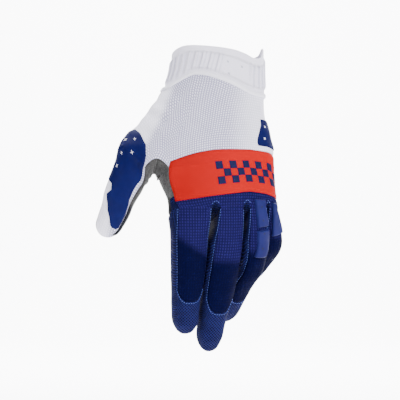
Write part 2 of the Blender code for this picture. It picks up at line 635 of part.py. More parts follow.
def build_surface():
    count = len(FINGER_BUMP)
    side, n = SIDE_CELLS, FINGER_CELLS
    palm_from = count - 1 + side
    surface = Surface()
    trunk = trunk_rows()

    def trunk_panel(r, c):
        if c >= palm_from + count - 1:
            on_back = c >= palm_from + count - 1 + side // 2
        else:
            on_back = c < count - 1 + side // 2
        if not on_back:
            return "palm_panel"
        return "knuckle_band" if r >= BACK_ROWS and HAND_START <= c < palm_from else "back_panel"

    surface.add("trunk", trunk, trunk_panel, True)

    end = trunk[-1]
    palm_line = end[palm_from : palm_from + count][::-1]
    thumb_top, hand_top = end[n], end[HAND_START]
    thumb_wall = web_wall(thumb_top, palm_line[n], THUMB_WEB_BOW)
    hand_wall = web_wall(hand_top, palm_line[HAND_START], HAND_WEB_BOW)
    web = coons(end[n : HAND_START + 1], palm_line[n : HAND_START + 1], thumb_wall, hand_wall)
    u = np.linspace(-1, 1, web.shape[1])[None, :, None]
    v = np.linspace(-1, 1, web.shape[0])[:, None, None]
    web = web - (1 - u**2) * (1 - v**2) * np.array([0, 0, CROTCH_SAG])
    surface.add("crotch", web, lambda r, c: "thumb_palm" if c < CROTCH_CELLS // 2 else "palm_panel", False)

    hand = hand_rows(end, hand_wall)
    columns = count - HAND_START
    hand_palm = columns - 1 + side

    def hand_panel(r, c):
        if c < columns - 1 + side // 2:
            return "knuckle_band" if r < HAND_ROWS else "finger_back_panel"
        return "palm_panel"

    surface.add("hand", hand, hand_panel, True)

    last = hand[-1]
    back_line = last[:columns]
    palm_back = last[hand_palm : hand_palm + columns][::-1]
    right_wall = last[columns - 1 : hand_palm + 1]
    left_wall = np.concatenate([last[hand_palm + columns - 1 :], last[:1]])[::-1]
    walls = {}
    names = list(FINGERS)
    for i, name in enumerate(names):
        start = FINGER_STARTS[name] - HAND_START
        stop = start + n
        sag = (0, 0, -WEB_SAG)
        walls[name, "left"] = left_wall if i == 0 else web_wall(back_line[start], palm_back[start], sag)
        walls[name, "right"] = right_wall if i == 3 else web_wall(back_line[stop], palm_back[stop], sag)
    for i, name in enumerate(names):
        start = FINGER_STARTS[name] - HAND_START
        stop = start + n
        base = np.concatenate([back_line[start : stop + 1], walls[name, "right"][1:-1],
                               palm_back[start : stop + 1][::-1], walls[name, "left"][::-1][1:-1]])
        rows, cap = finger_tube(name, base)

        def finger_panel(r, c, name=name):
            if c < n and r < TONGUE_CELLS:
                return "finger_back_panel"
            return "palm_panel" if n + side <= c < 2 * n + side else "finger_sides_" + name

        surface.add(name, rows, finger_panel, True)
        surface.add(name + "_tip", cap, lambda r, c, name=name: "finger_sides_" + name, False)
        if i < 3:
            slot = slice(stop, stop + SLOT_CELLS + 1)
            next_wall = walls[names[i + 1], "left"]
            bridge = coons(back_line[slot], palm_back[slot], walls[name, "right"], next_wall)
            surface.add(name + "_web", bridge, lambda r, c, name=name: "finger_sides_" + name, False)

    outer_side = end[palm_from + count :]
    base = np.concatenate([end[: n + 1], thumb_wall[1:-1], palm_line[: n + 1][::-1], outer_side])
    rows, cap = thumb_tube(base)

    def thumb_panel(r, c):
        return "back_panel" if c < n or c >= 2 * n + side + side // 2 else "thumb_palm"

    surface.add("thumb", rows, thumb_panel, True)
    surface.add("thumb_tip", cap, lambda r, c: "back_panel" if r < side // 2 else "thumb_palm", False)
    return surface.weld()


def material(name, colour, roughness):
    made = bpy.data.materials.new(name)
    made.use_nodes = True
    shader = made.node_tree.nodes["Principled BSDF"]
    shader.inputs["Base Color"].default_value = (*colour, 1.0)
    shader.inputs["Roughness"].default_value = roughness
    shader.inputs["Metallic"].default_value = 0.0
    made.diffuse_color = (*colour, 1.0)
    return made


def make_object(name, points, faces, finish):
    mesh = bpy.data.meshes.new(name)
    mesh.from_pydata([tuple(p) for p in points], [], [tuple(int(i) for i in f) for f in faces])
    mesh.validate()
    mesh.shade_smooth()
    mesh.set_sharp_from_angle(angle=math.radians(SHARP_ANGLE))
    mesh.materials.append(finish)
    made = bpy.data.objects.new(name, mesh)
    bpy.context.scene.collection.objects.link(made)
    return made


def boundary_shift(points, normals, faces, gap):
    """For each edge corner of an open sheet, the step that narrows it by gap all round."""
    edges = {}
    for face in faces:
        for a, b in zip(face, np.roll(face, -1)):
            edges[a, b] = face
    border = [(a, b) for a, b in edges if (b, a) not in edges]
    inward = {}
    for a, b in border:
        way = unit(points[b] - points[a])
        inside = unit(np.cross(normals[a] + normals[b], way))
        inward.setdefault(a, []).append(inside)
        inward.setdefault(b, []).append(inside)
    shift = np.zeros_like(points)
    for i, ways in inward.items():
        total = np.sum(ways, axis=0)
        shift[i] = total / max(1 + float(np.dot(ways[0], ways[-1])), MITRE_LIMIT) * gap
    return shift, border


def panel(surface, name, wall, finish):
    """One panel of cloth: its cells of the outer surface, a wall inwards, and half a seam gap all round."""
    faces = surface.faces[surface.panels == name]
    used, index = np.unique(faces, return_inverse=True)
    faces = index.reshape(faces.shape)
    points, normals = surface.corners[used], surface.normals[used]
    shift, border = boundary_shift(points, normals, faces, SEAM_GAP / 2)
    outer = points + shift
    inner = outer - normals * wall
    return sheet_solid(name, outer, inner, faces, border, finish)


def sheet_solid(name, outer, inner, faces, border, finish):
    """Closed solid between an outer and an inner sheet with the same cells."""
    count = len(outer)
    solid = [tuple(face) for face in faces] + [tuple(face[::-1] + count) for face in faces]
    solid += [(b, a, a + count, b + count) for a, b in border]
    return make_object(name, np.concatenate([outer, inner]), solid, finish)


def sampled(block, row, column):
    """Points of a block at fractional rows and columns, on the flat of its cells."""
    r0 = np.clip(np.floor(row).astype(int), 0, block.shape[0] - 2)
    c0 = np.clip(np.floor(column).astype(int), 0, block.shape[1] - 2)
    u, v = (column - c0)[..., None], (row - r0)[..., None]
    top = block[r0, c0] * (1 - u) + block[r0, c0 + 1] * u
    low = block[r0 + 1, c0] * (1 - u) + block[r0 + 1, c0 + 1] * u
    return top * (1 - v) + low * v


def outline_rows(table):
    """Rows that a piece needs to follow the creases below it: its own, the whole ones, and those at which its
    left or right edge crosses a whole column."""
    wanted = list(range(math.ceil(table[0, 0]), math.floor(table[-1, 0]) + 1))
    for above, below in zip(table[:-1], table[1:]):
        for side in (1, 2):
            low, high = sorted((above[side], below[side]))
            for column in range(math.ceil(low), math.floor(high) + 1):
                if high > low:
                    share = (column - above[side]) / (below[side] - above[side])
                    wanted.append(above[0] + (below[0] - above[0]) * share)
    rows = list(table[:, 0])
    for row in sorted(wanted):
        if min(abs(row - other) for other in rows) > ROW_APART:
            rows.append(row)
    return np.sort(rows)


def raised(name, block, outline, thickness, finish):
    """A flat piece laid on the surface. outline holds its row on the block with its left and right column.

    Its inner lines follow the surface's own columns, and gather along its edges where it is narrower.
    """
    table = np.array(outline)
    rows = outline_rows(table)
    left, right = (np.interp(rows, table[:, 0], table[:, i])[:, None] for i in (1, 2))
    first, last = math.floor(table[:, 1].min()), math.ceil(table[:, 2].max())
    count = last - first
    line = np.arange(count + 1)[None]
    column = np.clip(first + line, left + COLUMN_APART * line, right - COLUMN_APART * (count - line))
    grid = sampled(block, np.broadcast_to(rows[:, None], column.shape), column)
    normals = unit(np.cross(np.gradient(grid, axis=0), np.gradient(grid, axis=1)))
    index = np.arange(grid.shape[0] * grid.shape[1]).reshape(grid.shape[:2])
    faces = np.stack([index[:-1, :-1], index[1:, :-1], index[1:, 1:], index[:-1, 1:]], axis=-1).reshape(-1, 4)
    points, normals = grid.reshape(-1, 3), normals.reshape(-1, 3)
    _, border = boundary_shift(points, normals, faces, 0)
    inner = points + normals * LIFT
    return sheet_solid(name, inner + normals * thickness, inner, faces, border, finish)


def thumb_strip(surface):
    """The back of the thumb as one block, from the cuff's seam to its tip, its outer side on the left."""
    trunk, thumb = surface.blocks["trunk"], surface.blocks["thumb"]
    n, side = FINGER_CELLS, SIDE_CELLS
    upper = np.concatenate([trunk[:, -side + 1 :], trunk[:, : n + 1]], axis=1)
    lower = np.concatenate([thumb[1:, -side + 1 :], thumb[1:, : n + 1]], axis=1)
    return np.concatenate([upper, lower])


def finger_strip(surface, name):
    """The back of one finger as one block, from the thumb's crotch over its web to its tip."""
    start, n = FINGER_STARTS[name] - HAND_START, FINGER_CELLS
    hand, finger = surface.blocks["hand"], surface.blocks[name]
    return np.concatenate([hand[:, start : start + n + 1], finger[1:, : n + 1]])


def ulnar_strip(surface):
    """The back of the hand at the little finger's side, from the cuff's seam down, with half of that side."""
    count = len(FINGER_BUMP)
    return surface.blocks["trunk"][:, count - 1 - ULNAR_COLUMNS : count + SIDE_CELLS // 2]


def ring_angles(ring):
    """The slice angle of every point of the trunk's first row, from the thumb's side over the back."""
    count, side = len(FINGER_BUMP), SIDE_CELLS
    row = curve(TRUNK[:, 0], TRUNK, -ring[:, 2])
    share = crotch_shares()
    power = row[:, 7] / 2
    back = np.arccos(-signed_power(share, power[:count]))
    palm = 2 * np.pi - np.arccos(-signed_power(share[::-1], power[count + side - 1 : 2 * count + side - 1]))
    step = np.arange(1, side) / side
    right = back[-1] + (palm[0] - back[-1]) * step
    left = palm[-1] + (2 * np.pi + back[0] - palm[-1]) * step
    return np.concatenate([back, right, palm, left])


def cuff(surface, finish):
    """The elastic sleeve above the seam, ribbed round the wrist with ribs that lean over."""
    turn = np.arange(CUFF_COLUMNS) / CUFF_COLUMNS * 2
    angle = turn * np.pi
    first = surface.blocks["trunk"][0]
    seam = np.interp(angle, ring_angles(first), -first[:, 2], period=2 * np.pi)
    table = np.array(CUFF_EDGE)
    edge = -curve(table[:, 0], table[:, 1], turn) * CUFF_LENGTH
    t = np.linspace(0, 1, CUFF_ROWS + 1)[:, None]
    grid = on_slice(edge + (seam - SEAM_GAP - edge) * t, angle[None])
    along = np.gradient(grid, axis=0)
    outwards = unit(np.cross(along, np.roll(grid, -1, axis=1) - np.roll(grid, 1, axis=1)))
    fade = smooth_step(t / RIB_FADE) * smooth_step((1 - t) / RIB_FADE)
    ribs = RIB_DEPTH * fade * (0.5 - 0.5 * np.cos(2 * np.pi * (turn / 2 * CUFF_RIBS + RIB_LEAN * t)))
    outer = grid - outwards * ribs[..., None]
    whole = np.concatenate([outer, (outer - outwards * CUFF_WALL)[::-1]])
    count, width = whole.shape[:2]
    faces = []
    for r in range(count):
        for c in range(width):
            s, d = (r + 1) % count, (c + 1) % width
            faces.append((r * width + c, s * width + c, s * width + d, r * width + d))
    return make_object("cuff", whole.reshape(-1, 3), faces, finish)


def clear_scene():
    for old in list(bpy.data.objects):
        bpy.data.objects.remove(old)


def main():
    clear_scene()
    white = material("white_mesh", (0.78, 0.79, 0.85), 0.75)
    cuff_white = material("white_elastic", (0.80, 0.81, 0.86), 0.7)
    red = material("red_band", (0.78, 0.045, 0.025), 0.55)
    navy = material("navy_mesh", (0.018, 0.022, 0.17), 0.7)
    knit = material("navy_knit", (0.03, 0.04, 0.24), 0.7)
    suede = material("grey_suede", (0.10, 0.10, 0.09), 0.9)
    surface = build_surface()
    cuff(surface, cuff_white)
    panel(surface, "back_panel", MESH_WALL, white)
    panel(surface, "knuckle_band", BAND_WALL, red)
    panel(surface, "finger_back_panel", MESH_WALL, navy)
    panel(surface, "palm_panel", SUEDE_WALL, suede)
    panel(surface, "thumb_palm", SUEDE_WALL, suede)
    for name in FINGERS:
        panel(surface, "finger_sides_" + name, KNIT_WALL, knit)
    film = material("navy_film", (0.012, 0.02, 0.20), 0.35)
    rubber = material("blue_rubber", (0.045, 0.07, 0.42), 0.45)
    raised("thumb_patch", thumb_strip(surface), THUMB_PATCH, PATCH_THICK, film)
    raised("side_patch", ulnar_strip(surface), SIDE_PATCH, PATCH_THICK, film)
    ring, little = finger_strip(surface, "ring"), finger_strip(surface, "little")
    raised("ring_guard_upper", ring, RING_GUARD_UPPER, GUARD_THICK, rubber)
    raised("ring_guard_lower", ring, RING_GUARD_LOWER, GUARD_THICK, rubber)
    raised("little_guard", little, LITTLE_GUARD, GUARD_THICK, rubber)


main()
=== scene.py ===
"""Looks of the motocross glove: its cloth, seams, patches, guards and stitches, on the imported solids.

Every cloth surface repeats the solids' own formulas on a finer grid, so it lies where they are.
Lengths are in metres, +Z is up, -Y is the back of the hand and -X the thumb's side.
"""

import logging
import math
from dataclasses import dataclass, field
from enum import Enum, IntEnum
from typing import Callable, Sequence

import bpy
import numpy as np
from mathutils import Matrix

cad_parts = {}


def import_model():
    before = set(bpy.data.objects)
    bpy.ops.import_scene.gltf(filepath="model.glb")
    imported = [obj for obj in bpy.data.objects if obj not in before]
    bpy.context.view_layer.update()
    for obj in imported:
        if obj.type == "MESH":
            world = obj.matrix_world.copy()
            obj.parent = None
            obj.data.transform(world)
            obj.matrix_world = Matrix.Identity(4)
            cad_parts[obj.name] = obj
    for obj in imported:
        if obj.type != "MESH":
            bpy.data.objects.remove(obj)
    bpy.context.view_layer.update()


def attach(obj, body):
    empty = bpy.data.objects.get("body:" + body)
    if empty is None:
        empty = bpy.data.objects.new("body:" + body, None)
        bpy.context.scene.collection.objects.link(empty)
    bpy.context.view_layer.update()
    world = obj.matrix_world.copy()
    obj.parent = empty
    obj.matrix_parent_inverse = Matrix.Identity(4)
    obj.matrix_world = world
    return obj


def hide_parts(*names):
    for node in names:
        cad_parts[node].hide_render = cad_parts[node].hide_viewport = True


LOG = logging.getLogger("glove")
Array = np.ndarray
Colour = tuple[float, float, float]

# Sizes of the glove, the same as the solids'.
CUFF_LENGTH = 0.0266
PALM_LENGTH = 0.0866
WRIST_WIDTH = 0.0703
WRIST_DEPTH = 0.0459
PALM_WIDTH = 0.0792
PALM_THICK = 0.0275
PALM_OFFSET = 0.0041
KNUCKLE_REACH = 0.0422
THUMB_LENGTH = 0.0651
THUMB_WIDTH = 0.0240
WEB_SLOT_RISE = 0.0033
WEB_SAG = 0.0025
CROTCH_RISE = 0.0060
CROTCH_SAG = 0.0035
BAND_BOW = 0.0013
THUMB_WEB_BOW = (0.0040, 0.0, -0.0060)
HAND_WEB_BOW = (-0.0060, 0.0, -0.0050)

# Cells of the solids' surface, and how many cells of the cloth lie on each, down and across.
FINGER_CELLS, SIDE_CELLS, SLOT_CELLS, CROTCH_CELLS = 4, 4, 2, 4
BACK_ROWS, HAND_ROWS, TONGUE_CELLS, TIP_CELLS, THUMB_CELLS, THUMB_TIP_CELLS = 7, 4, 8, 3, 8, 2
FINE_DOWN, FINE_ACROSS = 8, 5
N, M = FINGER_CELLS * FINE_ACROSS, SIDE_CELLS * FINE_ACROSS

# Tables of the form, the same as the solids', in shares of the sizes above.
WRIST_SLICES = (
    # down, left, right, reach, half, slope, arch, power
    (-0.40, -0.50, 0.49, -0.03, 1.00, 0.15, 0.00, 2.0),
    (0.00, -0.50, 0.49, 0.00, 1.00, 0.15, 0.00, 2.0),
    (0.31, -0.51, 0.49, 0.05, 0.99, 0.16, 0.00, 2.0),
    (0.58, -0.53, 0.49, 0.10, 0.97, 0.18, 0.00, 2.0),
    (0.81, -0.56, 0.49, 0.17, 0.93, 0.21, 0.01, 2.1),
)
PALM_SLICES = (
    # down, left, right, reach, half, slope, arch, power
    (0.00, -0.58, 0.38, 0.23, 1.45, 0.24, 0.02, 2.2),
    (0.09, -0.64, 0.37, 0.33, 1.40, 0.28, 0.03, 2.2),
    (0.17, -0.70, 0.37, 0.42, 1.34, 0.32, 0.04, 2.3),
    (0.26, -0.77, 0.38, 0.51, 1.29, 0.36, 0.05, 2.3),
    (0.34, -0.85, 0.40, 0.61, 1.24, 0.39, 0.06, 2.4),
    (0.43, -0.93, 0.42, 0.70, 1.19, 0.41, 0.06, 2.4),
    (0.51, -0.97, 0.44, 0.79, 1.15, 0.42, 0.06, 2.5),
    (0.60, -1.00, 0.45, 0.86, 1.11, 0.42, 0.06, 2.5),
    (0.68, -1.03, 0.455, 0.91, 1.08, 0.42, 0.06, 2.5),
    (0.86, -1.05, 0.465, 0.98, 1.02, 0.42, 0.06, 2.5),
    (1.00, -1.05, 0.485, 1.00, 0.98, 0.42, 0.06, 2.5),
    (1.20, -1.05, 0.495, 1.00, 0.95, 0.42, 0.06, 2.5),
)
HAND_SLICES = (
    # down, left, right
    (0.60, -0.62, 0.45), (0.68, -0.59, 0.455), (0.77, -0.56, 0.46), (0.86, -0.54, 0.465),
    (1.00, -0.52, 0.485), (1.20, -0.50, 0.495),
)
COLUMNS = (
    # cells, across_crotch, across_web, crotch, band_top, band_end, web
    (FINGER_CELLS, -0.925, -0.925, 0.487, 0.420, 0.950, 1.00),
    (CROTCH_CELLS, -0.738, -0.738, 0.658, 0.580, 0.950, 1.00),
    (FINGER_CELLS, -0.540, -0.449, 0.667, 0.615, 0.953, 1.00),
    (SLOT_CELLS, -0.160, -0.172, 0.618, 0.512, 0.906, 1.00),
    (FINGER_CELLS, -0.095, -0.098, 0.612, 0.509, 0.897, 1.00),
    (SLOT_CELLS, 0.112, 0.107, 0.607, 0.507, 0.872, 1.00),
    (FINGER_CELLS, 0.168, 0.168, 0.607, 0.507, 0.868, 1.00),
    (SLOT_CELLS, 0.322, 0.322, 0.624, 0.527, 0.887, 1.00),
    (FINGER_CELLS, 0.347, 0.357, 0.626, 0.530, 0.897, 1.00),
    (0, 0.400, 0.430, 0.650, 0.545, 0.915, 1.00),
)
# Lines across the hand: how much lower each lies on the palm's side, and its place in a row of COLUMNS.
PALM_SIDE_DROP = {"crotch": 0.07, "band_top": 0.06, "band_end": 0.10, "web": 0.12}
LINES = {"crotch": 3, "band_top": 4, "band_end": 5, "web": 6}
# The cuff's lower seam and upper edge, and the rows of the thumb.
CUFF_SEAM = (
    # across, down
    (-1.00, 0.00), (-0.90, -0.04), (-0.78, -0.09), (-0.62, -0.14), (-0.44, -0.148),
    (-0.14, -0.120), (0.14, -0.078), (0.34, -0.040), (0.50, -0.005), (0.64, 0.018),
    (0.80, 0.034), (1.00, 0.035),
)
CUFF_EDGE = (
    # turn, rise
    (0.00, 0.05), (0.10, 0.16), (0.22, 0.25), (0.38, 0.24), (0.48, 0.20), (0.60, 0.12), (0.68, 0.02),
    (0.76, -0.09), (0.84, -0.09), (0.93, 0.02), (1.00, 0.21), (1.10, 0.03), (1.30, -0.10), (1.60, -0.12),
    (1.85, -0.04), (2.00, 0.05),
)
THUMB_ROWS = (
    # along, outer_across, outer_down, inner_across, inner_down, back, thick
    (0.00, -0.415, -0.240, -0.080, 0.060, 0.00, 0.98),
    (0.16, -0.440, -0.080, -0.110, 0.180, -0.01, 0.98),
    (0.30, -0.500, 0.070, -0.160, 0.280, -0.02, 0.96),
    (0.44, -0.575, 0.250, -0.240, 0.410, -0.01, 0.93),
    (0.60, -0.602, 0.398, -0.290, 0.523, 0.02, 0.88),
    (0.76, -0.636, 0.523, -0.341, 0.619, 0.06, 0.82),
    (0.88, -0.670, 0.640, -0.403, 0.720, 0.10, 0.76),
    (1.00, -0.690, 0.750, -0.455, 0.800, 0.13, 0.70),
)
# Outlines of what is laid on the cloth, in rows and columns of the cells under it.
THUMB_PATCH = (
    # row, left, right
    (5.78, 1.25, 4.35), (6.00, 0.95, 5.40), (6.25, 0.80, 6.20), (7.00, 0.80, 6.70), (8.00, 0.80, 6.80),
    (10.20, 0.80, 6.25), (11.20, 0.90, 6.30), (11.45, 3.35, 6.36), (11.90, 3.76, 6.45), (12.40, 3.18, 6.62),
    (14.30, 4.06, 6.72), (15.90, 5.24, 6.70), (16.30, 5.59, 6.25),
)
SIDE_PATCH = (
    # row, left, right
    (3.00, 2.90, 9.40), (3.57, 2.10, 9.40), (4.13, 1.40, 9.40), (4.78, 0.85, 9.40), (5.43, 0.35, 9.40),
    (5.98, 0.10, 9.40), (6.40, 0.20, 9.40),
)
RING_GUARD_UPPER = ((4.45, 0.90, 3.40), (5.00, 1.00, 3.50), (6.38, 1.45, 3.75))
RING_GUARD_LOWER = ((6.56, 1.35, 3.55), (7.31, 1.40, 3.50), (8.02, 1.25, 3.15), (8.50, 1.00, 2.65))
LITTLE_GUARD = ((4.60, 1.30, 3.60), (5.27, 1.00, 3.40), (6.07, 0.85, 3.20), (7.30, 0.85, 3.00))

# Places, angles and shares along a finger or the thumb, the same as the solids'.
THUMB_CROTCH_ACROSS = -0.636
THUMB_CROTCH_DOWN = 0.667
THUMB_TURN = 8.0
THUMB_SEAM_TURN = 18.0
SEAM_TURN_BLEND = 0.35
THUMB_TIP_FROM = 0.84
PALM_SEAM_DOWN = 0.035
PALM_SEAM_SLOPE = 0.03
TUBE_BLEND = 0.22
TUBE_END = 0.955
ROUND_FROM = 0.84
CROTCH_BLEND = 0.62
FINGER_POWER = 2.3
BACK_HALF_ANGLE = 60.0

# The photo's scale in metres a pixel, and the pixel of the origin.
PIXEL = 0.00074
PIXEL_ORIGIN = (218.5, 54.0)

# Pixels of the photo at which the small crosses lie, and the joint lines below which the finger mesh is plainer and
# painted darker as painted shade.
THUMB_CROSSES = ((127.0, 141.0), (136.0, 140.5), (123.5, 154.0), (133.5, 153.5), (119.0, 166.5))
SIDE_CROSSES = ((264.0, 127.0), (264.0, 139.0))
CUFF_CROSSES = ((228.0, 61.0), (242.0, 66.0), (229.0, 73.0))
GUARD_CROSSES = ((259.5, 207.0), (261.0, 220.0), (262.0, 233.0), (260.5, 248.0))
JOINT_PIXELS = ((170.0, 229.0), (208.5, 254.0), (210.0, 258.0), (242.0, 260.0), (244.0, 248.0), (268.0, 252.0),
                (270.0, 234.0), (282.0, 236.0))

# The outer edge of the back's white mesh: depth below the opening, X.
WHITE_EDGE = ((0.02, -0.037), (0.05, -0.048), (0.075, -0.062), (0.10, -0.075), (0.14, -0.088))

# Relief of the cloth: height or depth, then width or wave length, in metres.
SEAM_DIP, SEAM_DIP_WIDTH = 0.00055, 0.0011
SEAM_SWELL, SEAM_SWELL_AT, SEAM_SWELL_WIDTH = 0.00022, 0.0026, 0.0013
LARGE_DENT, LARGE_DENT_SIZE = 0.00045, 0.034
SMALL_DENT, SMALL_DENT_SIZE = 0.00016, 0.011
FINGERS_FROM, FINGERS_BLEND, FINGERS_SWELL = 0.105, 0.02, 0.00035
FOLD, FOLD_LENGTH, FOLD_REACH = 0.00060, 0.0125, 0.022
FOLD_CENTRE = (-0.040, -0.020, -0.055)
FOLD_WAY = (0.55, 0.0, 0.83)
GATHER, GATHER_SIZE, GATHER_REACH = 0.00034, 0.0058, 0.024
CREASE, CREASE_WIDTH = 0.0003, 0.0014


class Cloth(IntEnum):
    """The panels that the glove's outer surface is cut into."""

    BACK = 0
    BAND = 1
    FINGER_BACK = 2
    PALM = 3
    THUMB_PALM = 4
    INDEX = 5
    MIDDLE = 6
    RING = 7
    LITTLE = 8


@dataclass(frozen=True)
class Finger:
    """Sizes of one finger, with the rows of its middle line."""

    name: str
    cloth: Cloth
    length: float
    width: float
    turn: float
    tongue: tuple[float, float]
    rows: tuple[tuple[float, ...], ...]


FINGERS = (
    Finger("index", Cloth.INDEX, 0.0876, 0.0285, 22.0, (0.60, 0.70), (
        # along, across, down, back, wide, thick
        (0.00, 0.000, 0.000, 0.000, 1.00, 0.80), (0.19, -0.004, 0.185, -0.005, 0.95, 0.78),
        (0.44, -0.012, 0.444, 0.020, 0.86, 0.74), (0.63, -0.024, 0.629, 0.055, 0.77, 0.70),
        (0.75, -0.035, 0.750, 0.085, 0.71, 0.66), (0.91, -0.036, 0.911, 0.135, 0.67, 0.62),
        (1.00, -0.036, 0.995, 0.160, 0.65, 0.60))),
    Finger("middle", Cloth.MIDDLE, 0.1009, 0.0256, 27.0, (0.58, 0.69), (
        (0.00, 0.000, 0.000, 0.000, 1.00, 0.92), (0.16, 0.002, 0.162, 0.000, 1.00, 0.85),
        (0.37, -0.026, 0.373, 0.020, 1.00, 0.83), (0.51, -0.050, 0.514, 0.050, 0.98, 0.80),
        (0.66, -0.076, 0.655, 0.085, 0.88, 0.76), (0.80, -0.100, 0.796, 0.125, 0.78, 0.70),
        (0.90, -0.112, 0.900, 0.155, 0.76, 0.68), (1.00, -0.108, 0.995, 0.185, 0.73, 0.66))),
    Finger("ring", Cloth.RING, 0.0925, 0.0194, 38.0, (0.62, 0.72), (
        (0.00, 0.000, 0.000, 0.000, 1.00, 0.96), (0.20, 0.020, 0.200, 0.010, 1.00, 0.96),
        (0.34, 0.014, 0.336, 0.030, 1.00, 0.96), (0.42, -0.008, 0.416, 0.070, 1.00, 0.96),
        (0.52, -0.055, 0.492, 0.130, 0.98, 0.94), (0.70, -0.128, 0.628, 0.232, 0.94, 0.90),
        (0.85, -0.174, 0.742, 0.320, 0.88, 0.84), (1.00, -0.220, 0.855, 0.408, 0.82, 0.78))),
    Finger("little", Cloth.LITTLE, 0.0636, 0.0172, 46.0, (0.62, 0.74), (
        (0.00, 0.000, 0.000, 0.000, 1.00, 0.96), (0.20, 0.030, 0.200, 0.085, 1.00, 0.92),
        (0.38, 0.030, 0.372, 0.150, 1.00, 0.92), (0.50, -0.020, 0.455, 0.235, 0.98, 0.92),
        (0.70, -0.115, 0.590, 0.360, 0.94, 0.88), (0.85, -0.195, 0.694, 0.455, 0.88, 0.82),
        (1.00, -0.275, 0.797, 0.545, 0.82, 0.76))),
)


def curve(knots: Array, values: Array, at: Array) -> Array:
    """Cubic curve through a table's values, with each slope the mean of those beside it.

    Args:
        knots: The table's rising positions.
        values: A value or a row of values for each.
        at: Where it is read. Past an end it holds the end's value.

    Returns:
        The value at each position.
    """
    knots, values = np.asarray(knots, float), np.asarray(values, float)
    slopes = np.gradient(values, knots, axis=0)
    at = np.clip(np.asarray(at, float), knots[0], knots[-1])
    i = np.clip(np.searchsorted(knots, at, side="right") - 1, 0, len(knots) - 2)
    step = knots[i + 1] - knots[i]
    t = (at - knots[i]) / step
    if values.ndim > 1:
        t, step = t[..., None], step[..., None]
    rise = t * t * (3 - 2 * t)
    leaving, arriving = slopes[i] * step, slopes[i + 1] * step
    return (values[i] * (1 - rise) + values[i + 1] * rise
            + (t**3 - 2 * t**2 + t) * leaving + (t**3 - t**2) * arriving)


def signed_power(value: Array, power: Array | float) -> Array:
    """The value's size to a power, with its sign kept."""
    return np.sign(value) * np.abs(value) ** power


def unit(vectors: Array) -> Array:
    """Vectors brought to length 1."""
    return vectors / np.maximum(np.linalg.norm(vectors, axis=-1, keepdims=True), 1e-12)


def smooth_step(t: Array) -> Array:
    """3t^2 - 2t^3 between 0 and 1, held at both ends."""
    t = np.clip(t, 0, 1)
    return t * t * (3 - 2 * t)


def column_x(share: Array | float) -> Array | float:
    """X of a share of the palm's width from the palm's axis."""
    return PALM_OFFSET + share * PALM_WIDTH


def at_pixel(x: Array | float, y: Array | float) -> Array:
    """(X, Z) in metres of a pixel of the photo."""
    return np.stack([(np.asarray(x) - PIXEL_ORIGIN[0]) * PIXEL, (PIXEL_ORIGIN[1] - np.asarray(y)) * PIXEL], -1)


def slow_noise(points: Array, size: float, seed: int) -> Array:
    """Soft noise: the mean of eight sine waves of that size, each in its own seeded direction.

    Args:
        points: Where it is read, as (..., 3).
        size: The waves' length in metres.
        seed: Which waves.

    Returns:
        Values from about -1 to 1.
    """
    rng = np.random.default_rng(seed)
    ways = unit(rng.normal(size=(8, 3))) * (2 * np.pi / size) * rng.uniform(0.6, 1.5, (8, 1))
    return np.sin(points @ ways.T + rng.uniform(0, 2 * np.pi, 8)).mean(axis=-1) * 1.6


def coons(top: Array, bottom: Array, left: Array, right: Array) -> Array:
    """Patch between four edges: the mean across plus the mean down, less the mean of its corners."""
    u = np.linspace(0, 1, len(top))[None, :, None]
    v = np.linspace(0, 1, len(left))[:, None, None]
    across = left[:, None] * (1 - u) + right[:, None] * u
    down = top[None] * (1 - v) + bottom[None] * v
    corners = (top[0] * (1 - u) + top[-1] * u) * (1 - v) + (bottom[0] * (1 - u) + bottom[-1] * u) * v
    return across + down - corners


@dataclass
class Strip:
    """A stretch of the outer surface as one grid, read at the solids' own rows and columns."""

    points: Array

    def at(self, row: Array, column: Array) -> Array:
        """Points at fractional rows and columns, by the mean of the four grid points round each."""
        r, c = np.asarray(row) * FINE_DOWN, np.asarray(column) * FINE_ACROSS
        r0 = np.clip(np.floor(r).astype(int), 0, self.points.shape[0] - 2)
        c0 = np.clip(np.floor(c).astype(int), 0, self.points.shape[1] - 2)
        u, v = (c - c0)[..., None], (r - r0)[..., None]
        top = self.points[r0, c0] * (1 - u) + self.points[r0, c0 + 1] * u
        low = self.points[r0 + 1, c0] * (1 - u) + self.points[r0 + 1, c0 + 1] * u
        return top * (1 - v) + low * v

    def normal(self, row: Array, column: Array) -> Array:
        """Outward normals there: the cross product of the steps down and across."""
        step = 0.3
        down = self.at(row + step, column) - self.at(row - step, column)
        across = self.at(row, column + step) - self.at(row, column - step)
        return unit(np.cross(down, across))

    def find(self, target: Array) -> tuple[Array, Array]:
        """Rows and columns whose points lie at given X and Z, from the nearest grid point and four Newton steps.

        Args:
            target: (..., 2) of X and Z.

        Returns:
            The rows and the columns.
        """
        flat = target.reshape(-1, 2)
        grid = self.points[..., [0, 2]].reshape(-1, 2)
        near = np.argmin(((flat[:, None] - grid[None]) ** 2).sum(-1), axis=1)
        row, column = near // self.points.shape[1] / FINE_DOWN, near % self.points.shape[1] / FINE_ACROSS
        step = 0.1
        for _ in range(4):
            here = self.at(row, column)[:, [0, 2]]
            by_row = (self.at(row + step, column)[:, [0, 2]] - here) / step
            by_column = (self.at(row, column + step)[:, [0, 2]] - here) / step
            away = flat - here
            area = by_row[:, 0] * by_column[:, 1] - by_row[:, 1] * by_column[:, 0]
            area = np.where(np.abs(area) < 1e-9, 1e-9, area)
            row = row + np.clip((away[:, 0] * by_column[:, 1] - away[:, 1] * by_column[:, 0]) / area, -0.4, 0.4)
            column = column + np.clip((by_row[:, 0] * away[:, 1] - by_row[:, 1] * away[:, 0]) / area, -0.4, 0.4)
        return row.reshape(target.shape[:-1]), column.reshape(target.shape[:-1])


